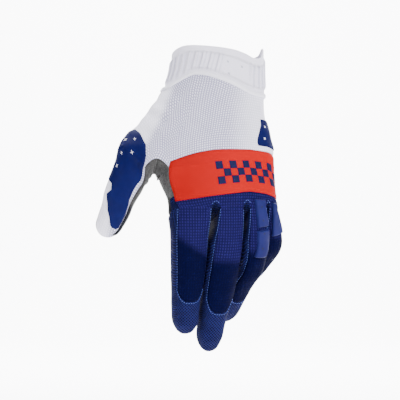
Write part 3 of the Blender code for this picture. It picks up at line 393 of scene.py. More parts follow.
class HandForm:
    """The formulas of the glove's outer surface: slices, columns and rows."""

    def __init__(self) -> None:
        """Brings the tables of slices to metres."""
        rows = [(d * CUFF_LENGTH, a * WRIST_WIDTH, b * WRIST_WIDTH, -r * KNUCKLE_REACH, h * WRIST_DEPTH / 2, s,
                 c * PALM_WIDTH, p) for d, a, b, r, h, s, c, p in WRIST_SLICES]
        rows += [(CUFF_LENGTH + d * PALM_LENGTH, column_x(a), column_x(b), -r * KNUCKLE_REACH,
                  h * PALM_THICK / 2, s, c * PALM_WIDTH, p) for d, a, b, r, h, s, c, p in PALM_SLICES]
        self.trunk = np.array(rows)
        self.hand = np.array([(CUFF_LENGTH + d * PALM_LENGTH, column_x(a), column_x(b)) for d, a, b in HAND_SLICES])
        cells = np.array([row[0] for row in COLUMNS])
        self.coarse = np.concatenate([[0], np.cumsum(cells[:-1])])
        self.starts = self.coarse * FINE_ACROSS
        self.columns = np.arange(self.starts[-1] + 1)
        self.hand_start = int(self.starts[2])
        inside = np.clip(np.searchsorted(self.starts, self.columns, side="right") - 1, 0, len(COLUMNS) - 2)
        arch = np.sin(np.pi * (self.columns - self.starts[inside]) / (cells[inside] * FINE_ACROSS))
        arch[-1] = 0.0
        self.finger_bump = np.where(np.isin(inside, (3, 5, 7)), arch, 0.0)
        self.crotch_bump = np.where(inside == 1, arch, 0.0)
        self.index_bump = np.where(inside == 2, arch, 0.0)

    def finger_start(self, finger: Finger) -> int:
        """The first of a finger's columns, counted from the hand's first."""
        return int(self.starts[2 + 2 * FINGERS.index(finger)]) - self.hand_start

    def on_slice(self, down: Array, angle: Array, x_mid: Array | None = None, hand: bool = False) -> Array:
        """Points of a slice: a middle line bowed to a parabola, with a superellipse's thickness square to it.

        Args:
            down: Depth below the opening.
            angle: 0 at the thumb's side, over the back to pi, and on under the palm.
            x_mid: X of the middle line, where that is known in place of the angle.
            hand: Whether the slice leaves the thumb out.

        Returns:
            The points.
        """
        down, angle = np.broadcast_arrays(np.asarray(down, float), np.asarray(angle, float))
        row = curve(self.trunk[:, 0], self.trunk, down)
        _, left, right, y_mid, half, slope, arch, power = np.moveaxis(row, -1, 0)
        if hand:
            _, left, right = np.moveaxis(curve(self.hand[:, 0], self.hand, down), -1, 0)
        centre, reach = (left + right) / 2, (right - left) / 2
        if x_mid is None:
            share = -signed_power(np.cos(angle), 2 / power)
            thick = signed_power(np.sin(angle), 2 / power)
            x_mid = centre + share * reach
        else:
            share = np.clip((x_mid - centre) / reach, -1, 1)
            thick = np.sign(np.sin(angle)) * (1 - np.abs(share) ** power) ** (1 / power)
        from_axis = (x_mid - PALM_OFFSET) / (PALM_WIDTH / 2)
        tilt = np.arctan(slope + 2 * arch * from_axis / (PALM_WIDTH / 2))
        y_line = y_mid + slope * (x_mid - PALM_OFFSET) + arch * from_axis**2
        out = half * thick
        return np.stack([x_mid + out * np.sin(tilt), y_line - out * np.cos(tilt), -down], axis=-1)

    def end_angle(self, down: float, x_mid: float, hand: bool) -> float:
        """The angle of a slice at which its middle line has reached x_mid."""
        row = curve(self.trunk[:, 0], self.trunk, down)
        left, right = row[..., 1], row[..., 2]
        if hand:
            _, left, right = np.moveaxis(curve(self.hand[:, 0], self.hand, down), -1, 0)
        share = np.clip((x_mid - (left + right) / 2) / ((right - left) / 2), -1, 1)
        return np.arccos(-signed_power(share, row[..., 7] / 2))

    def spread(self, index: int) -> Array:
        """One column of COLUMNS at every column of the surface, straight between its rows."""
        return np.interp(self.columns, self.starts, [row[index] for row in COLUMNS])

    def line_depths(self, name: str) -> tuple[Array, Array]:
        """Depth of a named line at every column, on the back and on the palm's side."""
        back = CUFF_LENGTH + self.spread(LINES[name]) * PALM_LENGTH
        palm = back + PALM_SIDE_DROP[name] * PALM_LENGTH
        if name in ("crotch", "band_top"):
            back, palm = back - self.crotch_bump * CROTCH_RISE, palm - self.crotch_bump * CROTCH_RISE
        if name == "band_top":
            back = back - self.index_bump * BAND_BOW
        if name == "web":
            back, palm = back - self.finger_bump * WEB_SLOT_RISE, palm - self.finger_bump * WEB_SLOT_RISE
        return back, palm

    def crotch_shares(self) -> Array:
        """Where each column crosses the row at the thumb's crotch, from -1 on its left to 1 on its right."""
        row = curve(self.trunk[:, 0], self.trunk, self.line_depths("crotch")[0])
        return (column_x(self.spread(1)) - (row[:, 1] + row[:, 2]) / 2) / ((row[:, 2] - row[:, 1]) / 2)

    def seam_depths(self, share: Array) -> tuple[Array, Array]:
        """Depth of the cuff's seam on the back and on the palm's side."""
        table = np.array(CUFF_SEAM)
        back = CUFF_LENGTH + curve(table[:, 0], table[:, 1], share) * PALM_LENGTH
        return back, CUFF_LENGTH + (PALM_SEAM_DOWN + PALM_SEAM_SLOPE * share) * PALM_LENGTH

    def ring_of(self, back_depth: Array, palm_depth: Array, x_mid: Array, hand: bool) -> Array:
        """A closed row: the back from left to right, the right side, the palm back to the left, the left side."""
        back = self.on_slice(back_depth, np.pi / 2, x_mid, hand)
        palm = self.on_slice(palm_depth, -np.pi / 2, x_mid, hand)[::-1]
        step = np.arange(1, M) / M

        def side(i: int, start: float, end: float) -> Array:
            """Points between two angles of a slice whose depth runs from the back's to the palm's."""
            depth = back_depth[i] + (palm_depth[i] - back_depth[i]) * (step if i else 1 - step)
            return self.on_slice(depth, start + (end - start) * step, None, hand)

        right = self.end_angle(back_depth[-1], x_mid[-1], hand)
        left = self.end_angle(back_depth[0], x_mid[0], hand)
        return np.concatenate([back, side(-1, right, 2 * np.pi - right), palm, side(0, -left, left)])

    def trunk_rows(self) -> Array:
        """Rows from the cuff's seam to the crotch of the thumb. The first lies on the seam."""
        crotch_back, crotch_palm = self.line_depths("crotch")
        band_back, band_palm = self.line_depths("band_top")
        share = self.crotch_shares()
        seam_back, seam_palm = self.seam_depths(share)
        rings = []
        for k in np.arange((BACK_ROWS + 1) * FINE_DOWN + 1) / FINE_DOWN:
            if k <= BACK_ROWS:
                t = k / BACK_ROWS
                back, palm = seam_back + (band_back - seam_back) * t, seam_palm + (band_palm - seam_palm) * t
            else:
                t = k - BACK_ROWS
                back, palm = band_back + (crotch_back - band_back) * t, band_palm + (crotch_palm - band_palm) * t
            row = curve(self.trunk[:, 0], self.trunk, back)
            x_mid = (row[:, 1] + row[:, 2]) / 2 + share * (row[:, 2] - row[:, 1]) / 2
            rings.append(self.ring_of(back, palm, x_mid, False))
        return np.array(rings)

    def web_wall(self, start: Array, end: Array, bulge: Sequence[float]) -> Array:
        """Edge of a web from the back to the palm: a straight line plus half a sine wave of a bulge."""
        t = np.linspace(0, 1, M + 1)[:, None]
        return start + (end - start) * t + np.sin(np.pi * t) * np.asarray(bulge)

    def hand_rows(self, trunk_end: Array, inner_wall: Array) -> Array:
        """Rows from the thumb's crotch to the finger webs."""
        count = len(self.columns)
        start = self.hand_start
        columns = count - start
        back0, palm0 = (depths[start:] for depths in self.line_depths("crotch"))
        back1, palm1 = (depths[start:] for depths in self.line_depths("band_end"))
        back2, palm2 = (depths[start:] for depths in self.line_depths("web"))
        x0, x1 = column_x(self.spread(1))[start:], column_x(self.spread(2))[start:]
        first = np.concatenate([trunk_end[start:count], trunk_end[count : count + M - 1],
                                trunk_end[count + M - 1 : count + M - 1 + columns], inner_wall[::-1][1:-1]])
        rings = [first]
        for k in np.arange(1, (HAND_ROWS + 1) * FINE_DOWN + 1) / FINE_DOWN:
            if k <= HAND_ROWS:
                t = k / HAND_ROWS
                back, palm = back0 + (back1 - back0) * t, palm0 + (palm1 - palm0) * t
            else:
                t = k - HAND_ROWS
                back, palm = back1 + (back2 - back1) * t, palm1 + (palm2 - palm1) * t
            whole = (back.mean() - back0.mean()) / (back2.mean() - back0.mean())
            ring = self.ring_of(back, palm, x0 + (x1 - x0) * whole, True)
            moved = first.copy()
            moved[:, 2] = ring[:, 2]
            mix = smooth_step(whole / CROTCH_BLEND)
            rings.append(moved * (1 - mix) + ring * mix)
        return np.array(rings)

    def tube_rows(self, base: Array, middle: Callable[[Array], Array],
                  frames: Callable[[Array], tuple[Array, ...]], tongue: tuple[float, float],
                  cells_to_tongue: int, cells_after: int, seam_turn: float = 0.0) -> Array:
        """Rows of a finger: its web's own ring, turning by steps into superellipses that round off at the tip.

        Args:
            base: The ring at the web.
            middle: The middle line, by share of the length.
            frames: The section's two directions and two half sizes, by share of the length.
            tongue: Where the row at the tongue's end lies at its sides and in its middle.
            cells_to_tongue: Rows of the solids up to there.
            cells_after: Rows of the solids from there to the tip's cap.
            seam_turn: How far the seam at the back's right side comes round to the back, in radians.

        Returns:
            The rows.
        """
        half = math.radians(BACK_HALF_ANGLE)
        corners = (-half, half, math.pi - half, math.pi + half, 2 * math.pi - half)
        sides = [np.linspace(corners[i], corners[i + 1], cells + 1)[:-1] for i, cells in enumerate((N, M, N, M))]
        turns = np.concatenate(sides)
        columns = np.arange(len(turns))
        across = np.clip(np.abs(columns - N / 2) / (N / 2), 0, 1)
        by_seam = np.clip(1 - np.abs(columns - N) / N, 0, 1)
        low, high = tongue
        end = np.where(columns <= N, high - (high - low) * across**3, low)
        start = middle(np.zeros(1))[0]
        centre = base.mean(axis=0)
        rings = [base]
        for k in np.arange(1, (cells_to_tongue + cells_after) * FINE_DOWN + 1) / FINE_DOWN:
            if k <= cells_to_tongue:
                along = end * k / cells_to_tongue
            else:
                along = end + (TUBE_END - end) * (k - cells_to_tongue) / cells_after
            sideways, outwards, wide, thick = frames(along)
            rounding = np.sqrt(1 - (np.clip((along - ROUND_FROM) / (1 - ROUND_FROM), 0, 1)) ** 2)[:, None]
            around = turns - seam_turn * by_seam * smooth_step(along / SEAM_TURN_BLEND)
            section = (sideways * (wide * signed_power(np.sin(around), 2 / FINGER_POWER))[:, None]
                       + outwards * (thick * signed_power(np.cos(around), 2 / FINGER_POWER))[:, None]) * rounding
            mix = smooth_step(along / TUBE_BLEND)[:, None]
            rings.append(middle(along) - start + centre + (base - centre) * (1 - mix) + section * mix)
        return np.array(rings)

    def tip_cap(self, ring: Array, middle_point: Array) -> Array:
        """Closes a tube: a patch between its four sides, domed by (1 - u^2)(1 - v^2) out to the fingertip."""
        top, right = ring[: N + 1], ring[N : N + M + 1]
        bottom = ring[N + M : 2 * N + M + 1][::-1]
        left = np.concatenate([ring[2 * N + M :], ring[:1]])[::-1]
        patch = coons(top, bottom, left, right)
        u, v = np.linspace(-1, 1, N + 1)[None, :, None], np.linspace(-1, 1, M + 1)[:, None, None]
        return patch + (middle_point - ring.mean(axis=0)) * (1 - u**2) * (1 - v**2)

    def finger_tube(self, finger: Finger, base: Array) -> tuple[Array, Array]:
        """A finger's rows and its cap."""
        table = np.array(finger.rows)
        turn = math.radians(finger.turn)
        step = 0.02

        def middle(along: Array) -> Array:
            """The finger's middle line from its root."""
            at = curve(table[:, 0], table[:, 1:4], along)
            return np.stack([at[:, 0], at[:, 2], -at[:, 1]], axis=-1) * finger.length

        def frames(along: Array) -> tuple[Array, ...]:
            """Across and outward directions square to the line, with the section's half sizes."""
            heading = unit(middle(along + step) - middle(along - step))
            flat = np.array([math.cos(turn), math.sin(turn), 0.0])
            sideways = unit(flat - heading * (heading @ flat)[:, None])
            sizes = curve(table[:, 0], table[:, 4:6], along) * finger.width / 2
            return sideways, unit(np.cross(heading, sideways)), sizes[:, 0], sizes[:, 1]

        rows = self.tube_rows(base, middle, frames, finger.tongue, TONGUE_CELLS, TIP_CELLS)
        tip = middle(np.ones(1))[0] - middle(np.zeros(1))[0] + base.mean(axis=0)
        return rows, self.tip_cap(rows[-1], tip)

    def thumb_tube(self, base: Array) -> tuple[Array, Array]:
        """The thumb's rows and its cap, between its two outlines."""
        table = np.array(THUMB_ROWS)
        crotch = np.array([column_x(THUMB_CROTCH_ACROSS), 0.0, -(CUFF_LENGTH + THUMB_CROTCH_DOWN * PALM_LENGTH)])
        depth = base[:, 1].mean()
        turn = math.radians(THUMB_TURN)

        def edges(along: Array) -> tuple[Array, ...]:
            """The outer and the inner outline, how far back they lie, and half the thickness."""
            at = curve(table[:, 0], table, along)
            zero = np.zeros(len(at))
            outer = np.stack([at[:, 1], zero, -at[:, 2]], axis=-1) * THUMB_LENGTH + crotch
            inner = np.stack([at[:, 3], zero, -at[:, 4]], axis=-1) * THUMB_LENGTH + crotch
            return outer, inner, at[:, 5] * THUMB_LENGTH, at[:, 6] * THUMB_WIDTH / 2

        def middle(along: Array) -> Array:
            """The mean of both outlines."""
            outer, inner, back, _ = edges(along)
            place = (outer + inner) / 2
            place[:, 1] = depth + back
            return place

        def frames(along: Array) -> tuple[Array, ...]:
            """Across and outward directions, turned a little, with the section's half sizes."""
            outer, inner, _, thick = edges(along)
            flat = unit(inner - outer)
            back = np.array([0.0, -1.0, 0.0])
            sideways = flat * math.cos(turn) - back * math.sin(turn)
            outwards = back * math.cos(turn) + flat * math.sin(turn)
            return sideways, outwards, np.linalg.norm(inner - outer, axis=1) / 2, thick

        drift = middle(np.zeros(1))[0] - base.mean(axis=0)

        def placed(along: Array) -> Array:
            """The middle line, drawn to the web's centre at its start."""
            return middle(along) - np.outer(1 - smooth_step(along / TUBE_BLEND), drift)

        ends = (THUMB_TIP_FROM, THUMB_TIP_FROM)
        rows = self.tube_rows(base, placed, frames, ends, THUMB_CELLS, THUMB_TIP_CELLS,
                              math.radians(THUMB_SEAM_TURN))
        return rows, self.tip_cap(rows[-1], middle(np.ones(1))[0])


def arc_uv(rows: Array, closed: bool, middle_column: int, datum_row: int) -> Array:
    """Cloth coordinates in metres: u is the length across from a middle column, v the length down from a row.

    Args:
        rows: A block of points, (rows, columns, 3).
        closed: Whether each row is a ring, which then gets one more column.
        middle_column: The column with u = 0.
        datum_row: The row with v = 0.

    Returns:
        (rows, columns or one more, 2).
    """
    full = np.concatenate([rows, rows[:, :1]], axis=1) if closed else rows
    across = np.concatenate([np.zeros((len(full), 1)), np.linalg.norm(np.diff(full, axis=1), axis=2).cumsum(1)], axis=1)
    down = np.concatenate([np.zeros((1, full.shape[1])), np.linalg.norm(np.diff(full, axis=0), axis=2).cumsum(0)])
    return np.stack([across - across[:, middle_column : middle_column + 1], down - down[datum_row]], axis=-1)


class GloveSurface:
    """The whole outer surface: blocks of cells welded where they meet, each cell with its panel."""

    def __init__(self, form: HandForm) -> None:
        """Lays out the blocks, welds them and works out the surface's relief."""
        self.form = form
        self.parts: list[tuple[Array, Array, Array, Array]] = []
        self.blocks: dict[str, Array] = {}
        self.offset = 0
        self.lay_out()
        self.weld()

    def add(self, name: str, rows: Array, panels: Array, closed: bool, uv: Array) -> None:
        """Adds a block of cells.

        Args:
            name: The block's name.
            rows: Its points.
            panels: The panel of each cell.
            closed: Whether each row is a ring.
            uv: Cloth coordinates at its points, with one more column on a ring.
        """
        height, width = rows.shape[:2]
        r, c = np.meshgrid(np.arange(height - 1), np.arange(width if closed else width - 1), indexing="ij")
        d = (c + 1) % width
        cells = np.stack([r * width + c, (r + 1) * width + c, (r + 1) * width + d, r * width + d], -1) + self.offset
        corners = np.stack([uv[r, c], uv[r + 1, c], uv[r + 1, c + 1], uv[r, c + 1]], axis=2)
        self.parts.append((rows.reshape(-1, 3), cells.reshape(-1, 4), corners.reshape(-1, 4, 2),
                           np.broadcast_to(panels, r.shape).reshape(-1)))
        self.blocks[name] = rows
        self.offset += height * width

    def lay_out(self) -> None:
        """Adds the trunk, the crotch's web, the hand, the fingers with their webs, and the thumb."""
        form = self.form
        count, start = len(form.columns), form.hand_start
        palm_from = count - 1 + M
        trunk = form.trunk_rows()
        band_row = BACK_ROWS * FINE_DOWN
        r, c = np.meshgrid(np.arange(len(trunk) - 1), np.arange(trunk.shape[1]), indexing="ij")
        on_back = np.where(c >= palm_from + count - 1, c >= palm_from + count - 1 + M // 2, c < count - 1 + M // 2)
        band = on_back & (r >= band_row) & (c >= start) & (c < palm_from)
        panels = np.where(band, Cloth.BAND, np.where(on_back, Cloth.BACK, Cloth.PALM))
        uv = arc_uv(trunk, True, int(form.starts[4]), band_row)
        self.add("trunk", trunk, panels, True, uv)

        end = trunk[-1]
        palm_line = end[palm_from : palm_from + count][::-1]
        thumb_wall = form.web_wall(end[N], palm_line[N], THUMB_WEB_BOW)
        hand_wall = form.web_wall(end[start], palm_line[start], HAND_WEB_BOW)
        web = coons(end[N : start + 1], palm_line[N : start + 1], thumb_wall, hand_wall)
        u = np.linspace(-1, 1, web.shape[1])[None, :, None]
        v = np.linspace(-1, 1, web.shape[0])[:, None, None]
        web = web - (1 - u**2) * (1 - v**2) * np.array([0, 0, CROTCH_SAG])
        half = np.arange(web.shape[1] - 1)[None] < CROTCH_CELLS * FINE_ACROSS // 2
        panels = np.where(half, Cloth.THUMB_PALM, Cloth.PALM) + np.zeros((web.shape[0] - 1, 1), int)
        self.add("crotch", web, panels, False, arc_uv(web, False, web.shape[1] // 2, 0))

        hand = form.hand_rows(end, hand_wall)
        columns = count - start
        r, c = np.meshgrid(np.arange(len(hand) - 1), np.arange(hand.shape[1]), indexing="ij")
        front = c < columns - 1 + M // 2
        gusset = (c >= hand.shape[1] - M // 3) & (r >= int((HAND_ROWS - 0.6) * FINE_DOWN))
        panels = np.where(front, np.where(r < HAND_ROWS * FINE_DOWN, Cloth.BAND, Cloth.FINGER_BACK),
                          np.where(gusset, Cloth.INDEX, Cloth.PALM))
        uv = arc_uv(hand, True, int(form.starts[4]) - start, 0)
        uv[..., 1] += arc_uv(trunk, True, 0, band_row)[-1, int(form.starts[4]), 1]
        self.add("hand", hand, panels, True, uv)
        self.add_fingers(hand, uv)

        outer_side = end[palm_from + count :]
        base = np.concatenate([end[: N + 1], thumb_wall[1:-1], palm_line[: N + 1][::-1], outer_side])
        rows, cap = form.thumb_tube(base)
        c = np.arange(rows.shape[1])[None]
        white = (c < N) | (c >= 2 * N + M + M // 2)
        uv_top = arc_uv(trunk, True, int(form.starts[4]), band_row)[-1, N // 2]
        uv = arc_uv(rows, True, N // 2, 0) + uv_top
        self.add("thumb", rows, np.where(white, Cloth.BACK, Cloth.THUMB_PALM), True, uv)
        r = np.arange(cap.shape[0] - 1)[:, None]
        panels = np.where(r < M // 2, Cloth.BACK, Cloth.THUMB_PALM) + np.zeros((1, cap.shape[1] - 1), int)
        self.add("thumb_tip", cap, panels, False, arc_uv(cap, False, N // 2, 0) + uv[-1, N // 2])

    def add_fingers(self, hand: Array, hand_uv: Array) -> None:
        """Adds the four fingers below the hand's last row, with the webs between them."""
        form = self.form
        last = hand[-1]
        columns = len(form.columns) - form.hand_start
        hand_palm = columns - 1 + M
        back_line = last[:columns]
        palm_back = last[hand_palm : hand_palm + columns][::-1]
        sag = (0.0, 0.0, -WEB_SAG)
        walls = {}
        for finger in FINGERS:
            start = form.finger_start(finger)
            walls[finger.name, 0] = form.web_wall(back_line[start], palm_back[start], sag)
            walls[finger.name, 1] = form.web_wall(back_line[start + N], palm_back[start + N], sag)
        walls["index", 0] = np.concatenate([last[hand_palm + columns - 1 :], last[:1]])[::-1]
        walls["little", 1] = last[columns - 1 : hand_palm + 1]
        for i, finger in enumerate(FINGERS):
            start = form.finger_start(finger)
            stop = start + N
            base = np.concatenate([back_line[start : stop + 1], walls[finger.name, 1][1:-1],
                                   palm_back[start : stop + 1][::-1], walls[finger.name, 0][::-1][1:-1]])
            rows, cap = form.finger_tube(finger, base)
            r, c = np.meshgrid(np.arange(len(rows) - 1), np.arange(rows.shape[1]), indexing="ij")
            panels = np.where((c < N) & (r < TONGUE_CELLS * FINE_DOWN), Cloth.FINGER_BACK,
                              np.where((c >= N + M) & (c < 2 * N + M), Cloth.PALM, finger.cloth))
            uv = arc_uv(rows, True, N // 2, 0) + hand_uv[-1, start + N // 2]
            self.add(finger.name, rows, panels, True, uv)
            self.add(finger.name + "_tip", cap, np.array(finger.cloth), False,
                     arc_uv(cap, False, N // 2, 0) + uv[-1, N // 2])
            if finger is not FINGERS[-1]:
                slot = slice(stop, stop + SLOT_CELLS * FINE_ACROSS + 1)
                bridge = coons(back_line[slot], palm_back[slot], walls[finger.name, 1], walls[FINGERS[i + 1].name, 0])
                self.add(finger.name + "_web", bridge, np.array(finger.cloth), False, arc_uv(bridge, False, 0, 0))

    def weld(self) -> None:
        """Joins points that coincide, and works out normals and each point's distance to its panel's edge."""
        points = np.concatenate([part[0] for part in self.parts])
        _, keep, index = np.unique(np.round(points / 1e-6).astype(np.int64), axis=0, return_index=True,
                                   return_inverse=True)
        self.corners = points[keep]
        self.faces = index.reshape(-1)[np.concatenate([part[1] for part in self.parts])]
        self.uv = np.concatenate([part[2] for part in self.parts])
        self.panels = np.concatenate([part[3] for part in self.parts])
        self.normals = vertex_normals(self.corners, self.faces)
        low, high = np.full(len(keep), 99), np.full(len(keep), -1)
        for i in range(4):
            np.minimum.at(low, self.faces[:, i], self.panels)
            np.maximum.at(high, self.faces[:, i], self.panels)
        self.to_edge = np.where(low != high, 0.0, 1.0)
        self.suede = (low >= Cloth.PALM) & (high <= Cloth.THUMB_PALM)
        ends = np.concatenate([self.faces[:, [i, (i + 1) % 4]] for i in range(4)])
        length = np.linalg.norm(self.corners[ends[:, 0]] - self.corners[ends[:, 1]], axis=1)
        for _ in range(8):
            np.minimum.at(self.to_edge, ends[:, 0], self.to_edge[ends[:, 1]] + length)
            np.minimum.at(self.to_edge, ends[:, 1], self.to_edge[ends[:, 0]] + length)

    def relief(self) -> Array:
        """How far each point stands off the plain form.

        A dip at each seam with a soft swell beside it, both bell curves of the distance to the seam, slow dents,
        and folds at the thumb's root: a sine of the distance along a slant, over 22 mm round the root. The
        fingers swell a little and have half the dents.
        """
        p, d = self.corners, self.to_edge
        swell = SEAM_SWELL * np.exp(-(((d - SEAM_SWELL_AT) / SEAM_SWELL_WIDTH) ** 2))
        dip = -SEAM_DIP * np.exp(-((d / SEAM_DIP_WIDTH) ** 2)) + swell
        fingers = smooth_step((-p[:, 2] - FINGERS_FROM) / FINGERS_BLEND)
        dents = LARGE_DENT * slow_noise(p, LARGE_DENT_SIZE, 3) + SMALL_DENT * slow_noise(p, SMALL_DENT_SIZE, 5)
        away = (p - np.array(FOLD_CENTRE)) * np.array([1.0, 0.5, 1.0])
        near = np.exp(-((np.linalg.norm(away, axis=1) / FOLD_REACH) ** 2))
        slant = p @ unit(np.array(FOLD_WAY)) + 0.0012 * slow_noise(p, 0.03, 8)
        folds = FOLD * near * np.sin(2 * np.pi * slant / FOLD_LENGTH)
        return dip + dents * (1 - 0.5 * fingers) + folds + FINGERS_SWELL * fingers

    def gathers(self) -> Array:
        """Suede gathered at the thumb's crotch: folds that run out from it and short waves, over 25 mm.

        The folds are a power of the sine of the angle round the crotch, with one shallow crease in the middle.
        The waves are slow noise.
        """
        crotch = np.array([column_x(THUMB_CROTCH_ACROSS), -0.045, -(CUFF_LENGTH + 0.60 * PALM_LENGTH)])
        away = self.corners - crotch
        near = np.exp(-((np.linalg.norm(away, axis=1) / GATHER_REACH) ** 2))
        turn = np.arctan2(away[:, 0], -away[:, 2])
        wave = slow_noise(self.corners * np.array([1.0, 0.35, 1.0]), GATHER_SIZE, 11)
        folds = 0.6 - np.abs(np.sin(5.5 * turn + 0.35 * wave)) ** 0.7
        crease = -np.exp(-(((away[:, 0] + 0.0005) / CREASE_WIDTH) ** 2))
        return self.suede * near * (GATHER * (wave + folds) + CREASE * crease)

    def place(self) -> None:
        """Moves every point by the relief along its normal, and keeps the blocks' grids in step."""
        move = self.normals * (self.relief() + self.gathers())[:, None]
        moved = self.corners + move
        flat = np.concatenate([part[0] for part in self.parts])
        _, index = np.unique(np.round(flat / 1e-6).astype(np.int64), axis=0, return_inverse=True)
        flat = moved[index.reshape(-1)]
        first = 0
        for name, rows in list(self.blocks.items()):
            size = rows.shape[0] * rows.shape[1]
            self.blocks[name] = flat[first : first + size].reshape(rows.shape)
            first += size
        self.corners = moved
        self.normals = vertex_normals(self.corners, self.faces)

    def panel(self, cloth: Cloth) -> tuple[Array, Array, Array]:
        """One panel's points, faces and cloth coordinates."""
        chosen = self.panels == cloth
        used, index = np.unique(self.faces[chosen], return_inverse=True)
        return self.corners[used], index.reshape(-1, 4), self.uv[chosen]

    def thumb_strip(self) -> Strip:
        """The back of the thumb from the cuff's seam to its tip, its outer side on the left."""
        trunk, thumb = self.blocks["trunk"], self.blocks["thumb"]
        side = M - FINE_ACROSS
        upper = np.concatenate([trunk[:, -side:], trunk[:, : N + 1]], axis=1)
        lower = np.concatenate([thumb[1:, -side:], thumb[1:, : N + 1]], axis=1)
        return Strip(np.concatenate([upper, lower]))

    def finger_strip(self, finger: Finger) -> Strip:
        """The back of one finger from the thumb's crotch over its web to its tip."""
        start = self.form.finger_start(finger)
        hand, tube = self.blocks["hand"], self.blocks[finger.name]
        return Strip(np.concatenate([hand[:, start : start + N + 1], tube[1:, : N + 1]]))

    def ulnar_strip(self) -> Strip:
        """The back of the hand at the little finger's side, from the cuff's seam down, with half of that side."""
        count = len(self.form.columns)
        return Strip(self.blocks["trunk"][:, count - 1 - 8 * FINE_ACROSS : count + M // 2])

    def band_strip(self) -> Strip:
        """The knuckle band from its upper edge to the webs."""
        start, count = self.form.hand_start, len(self.form.columns)
        upper = self.blocks["trunk"][BACK_ROWS * FINE_DOWN :, start : count + M // 2]
        return Strip(np.concatenate([upper, self.blocks["hand"][1:, : count - start + M // 2]]))


def vertex_normals(points: Array, faces: Array) -> Array:
    """Unit normals: the mean of the cross products of the diagonals of the faces round each point."""
    normal = np.cross(points[faces[:, 2]] - points[faces[:, 0]], points[faces[:, 3]] - points[faces[:, 1]])
    total = np.zeros_like(points)
    for i in range(4):
        np.add.at(total, faces[:, i], normal)
    return unit(total)


class Nodes:
    """A short way to write a material's nodes."""

    def __init__(self, name: str) -> None:
        """Starts a material with an empty Principled shader."""
        self.material = bpy.data.materials.new(name)
        self.material.use_nodes = True
        self.tree = self.material.node_tree
        self.shader = self.tree.nodes["Principled BSDF"]

    def add(self, kind: str, inputs: dict | None = None, **settings: object) -> bpy.types.Node:
        """Adds a node.

        Args:
            kind: Its type.
            inputs: Values or sockets by input name or number.
            settings: The node's own settings.

        Returns:
            The node.
        """
        node = self.tree.nodes.new(kind)
        for key, value in settings.items():
            setattr(node, key, value)
        for key, value in (inputs or {}).items():
            self.put(node.inputs[key], value)
        return node

    def put(self, socket: bpy.types.NodeSocket, value: object) -> None:
        """Links a socket, or sets its value."""
        if isinstance(value, bpy.types.NodeSocket):
            self.tree.links.new(value, socket)
        else:
            socket.default_value = value

    def math(self, operation: str, a: object, b: object = 0.0, c: object = 0.0) -> bpy.types.NodeSocket:
        """One Math node."""
        node = self.add("ShaderNodeMath", {0: a, 1: b}, operation=operation)
        if operation == "MULTIPLY_ADD":
            self.put(node.inputs[2], c)
        return node.outputs[0]

    def ramp(self, value: object, low: float, high: float) -> bpy.types.NodeSocket:
        """0 below low, 1 above high, smooth between."""
        node = self.add("ShaderNodeMapRange", {0: value, 1: low, 2: high}, interpolation_type="SMOOTHSTEP")
        return node.outputs[0]

    def mix(self, factor: object, a: object, b: object) -> bpy.types.NodeSocket:
        """A mix of two colours."""
        node = self.add("ShaderNodeMix", data_type="RGBA")
        self.put(node.inputs[0], factor)
        self.put(node.inputs[6], a)
        self.put(node.inputs[7], b)
        return node.outputs[2]

    def noise(self, scale: float, detail: float = 2.0) -> bpy.types.NodeSocket:
        """Noise from 0 to 1 over the object's own coordinates."""
        place = self.add("ShaderNodeTexCoord").outputs["Object"]
        return self.add("ShaderNodeTexNoise", {"Vector": place, "Scale": scale, "Detail": detail}).outputs[0]

    def cloth_axes(self, pitch: tuple[float, float], angle: float) -> tuple[bpy.types.NodeSocket, ...]:
        """The cloth's two coordinates, turned by an angle and counted in threads."""
        uv = self.add("ShaderNodeUVMap", uv_map="cloth").outputs[0]
        spin = self.add("ShaderNodeVectorRotate", {"Vector": uv, "Angle": math.radians(angle)}, rotation_type="Z_AXIS")
        parts = self.add("ShaderNodeSeparateXYZ", {0: spin.outputs[0]})
        return (self.math("DIVIDE", parts.outputs[0], pitch[0]), self.math("DIVIDE", parts.outputs[1], pitch[1]))

    def line(self, axis: bpy.types.NodeSocket, width: float, soft: float) -> bpy.types.NodeSocket:
        """1 on the line between two threads and 0 away from it, once a thread."""
        away = self.math("PINGPONG", axis, 0.5)
        inside = self.ramp(away, width / 2, width / 2 + soft)
        return self.math("SUBTRACT", 1.0, inside)

    def bump(self, height: object, distance: float) -> bpy.types.NodeSocket:
        """A Bump node's normal, for relief of that depth in metres."""
        return self.add("ShaderNodeBump", {"Height": height, "Distance": distance, "Strength": 1.0}).outputs[0]

    def finish(self, colour: object, roughness: object, normal: object = None, sheen: float = 0.0,
               gloss: float = 0.5) -> bpy.types.Material:
        """Links the shader's own sockets and returns the material."""
        self.put(self.shader.inputs["Base Color"], colour)
        self.shader.inputs["Specular IOR Level"].default_value = gloss
        self.put(self.shader.inputs["Roughness"], roughness)
        if normal is not None:
            self.put(self.shader.inputs["Normal"], normal)
        if sheen:
            self.shader.inputs["Sheen Weight"].default_value = sheen
            self.shader.inputs["Sheen Roughness"].default_value = 0.5
        return self.material


def rgba(colour: Colour) -> tuple[float, ...]:
    """A colour with alpha 1."""
    return (*colour, 1.0)


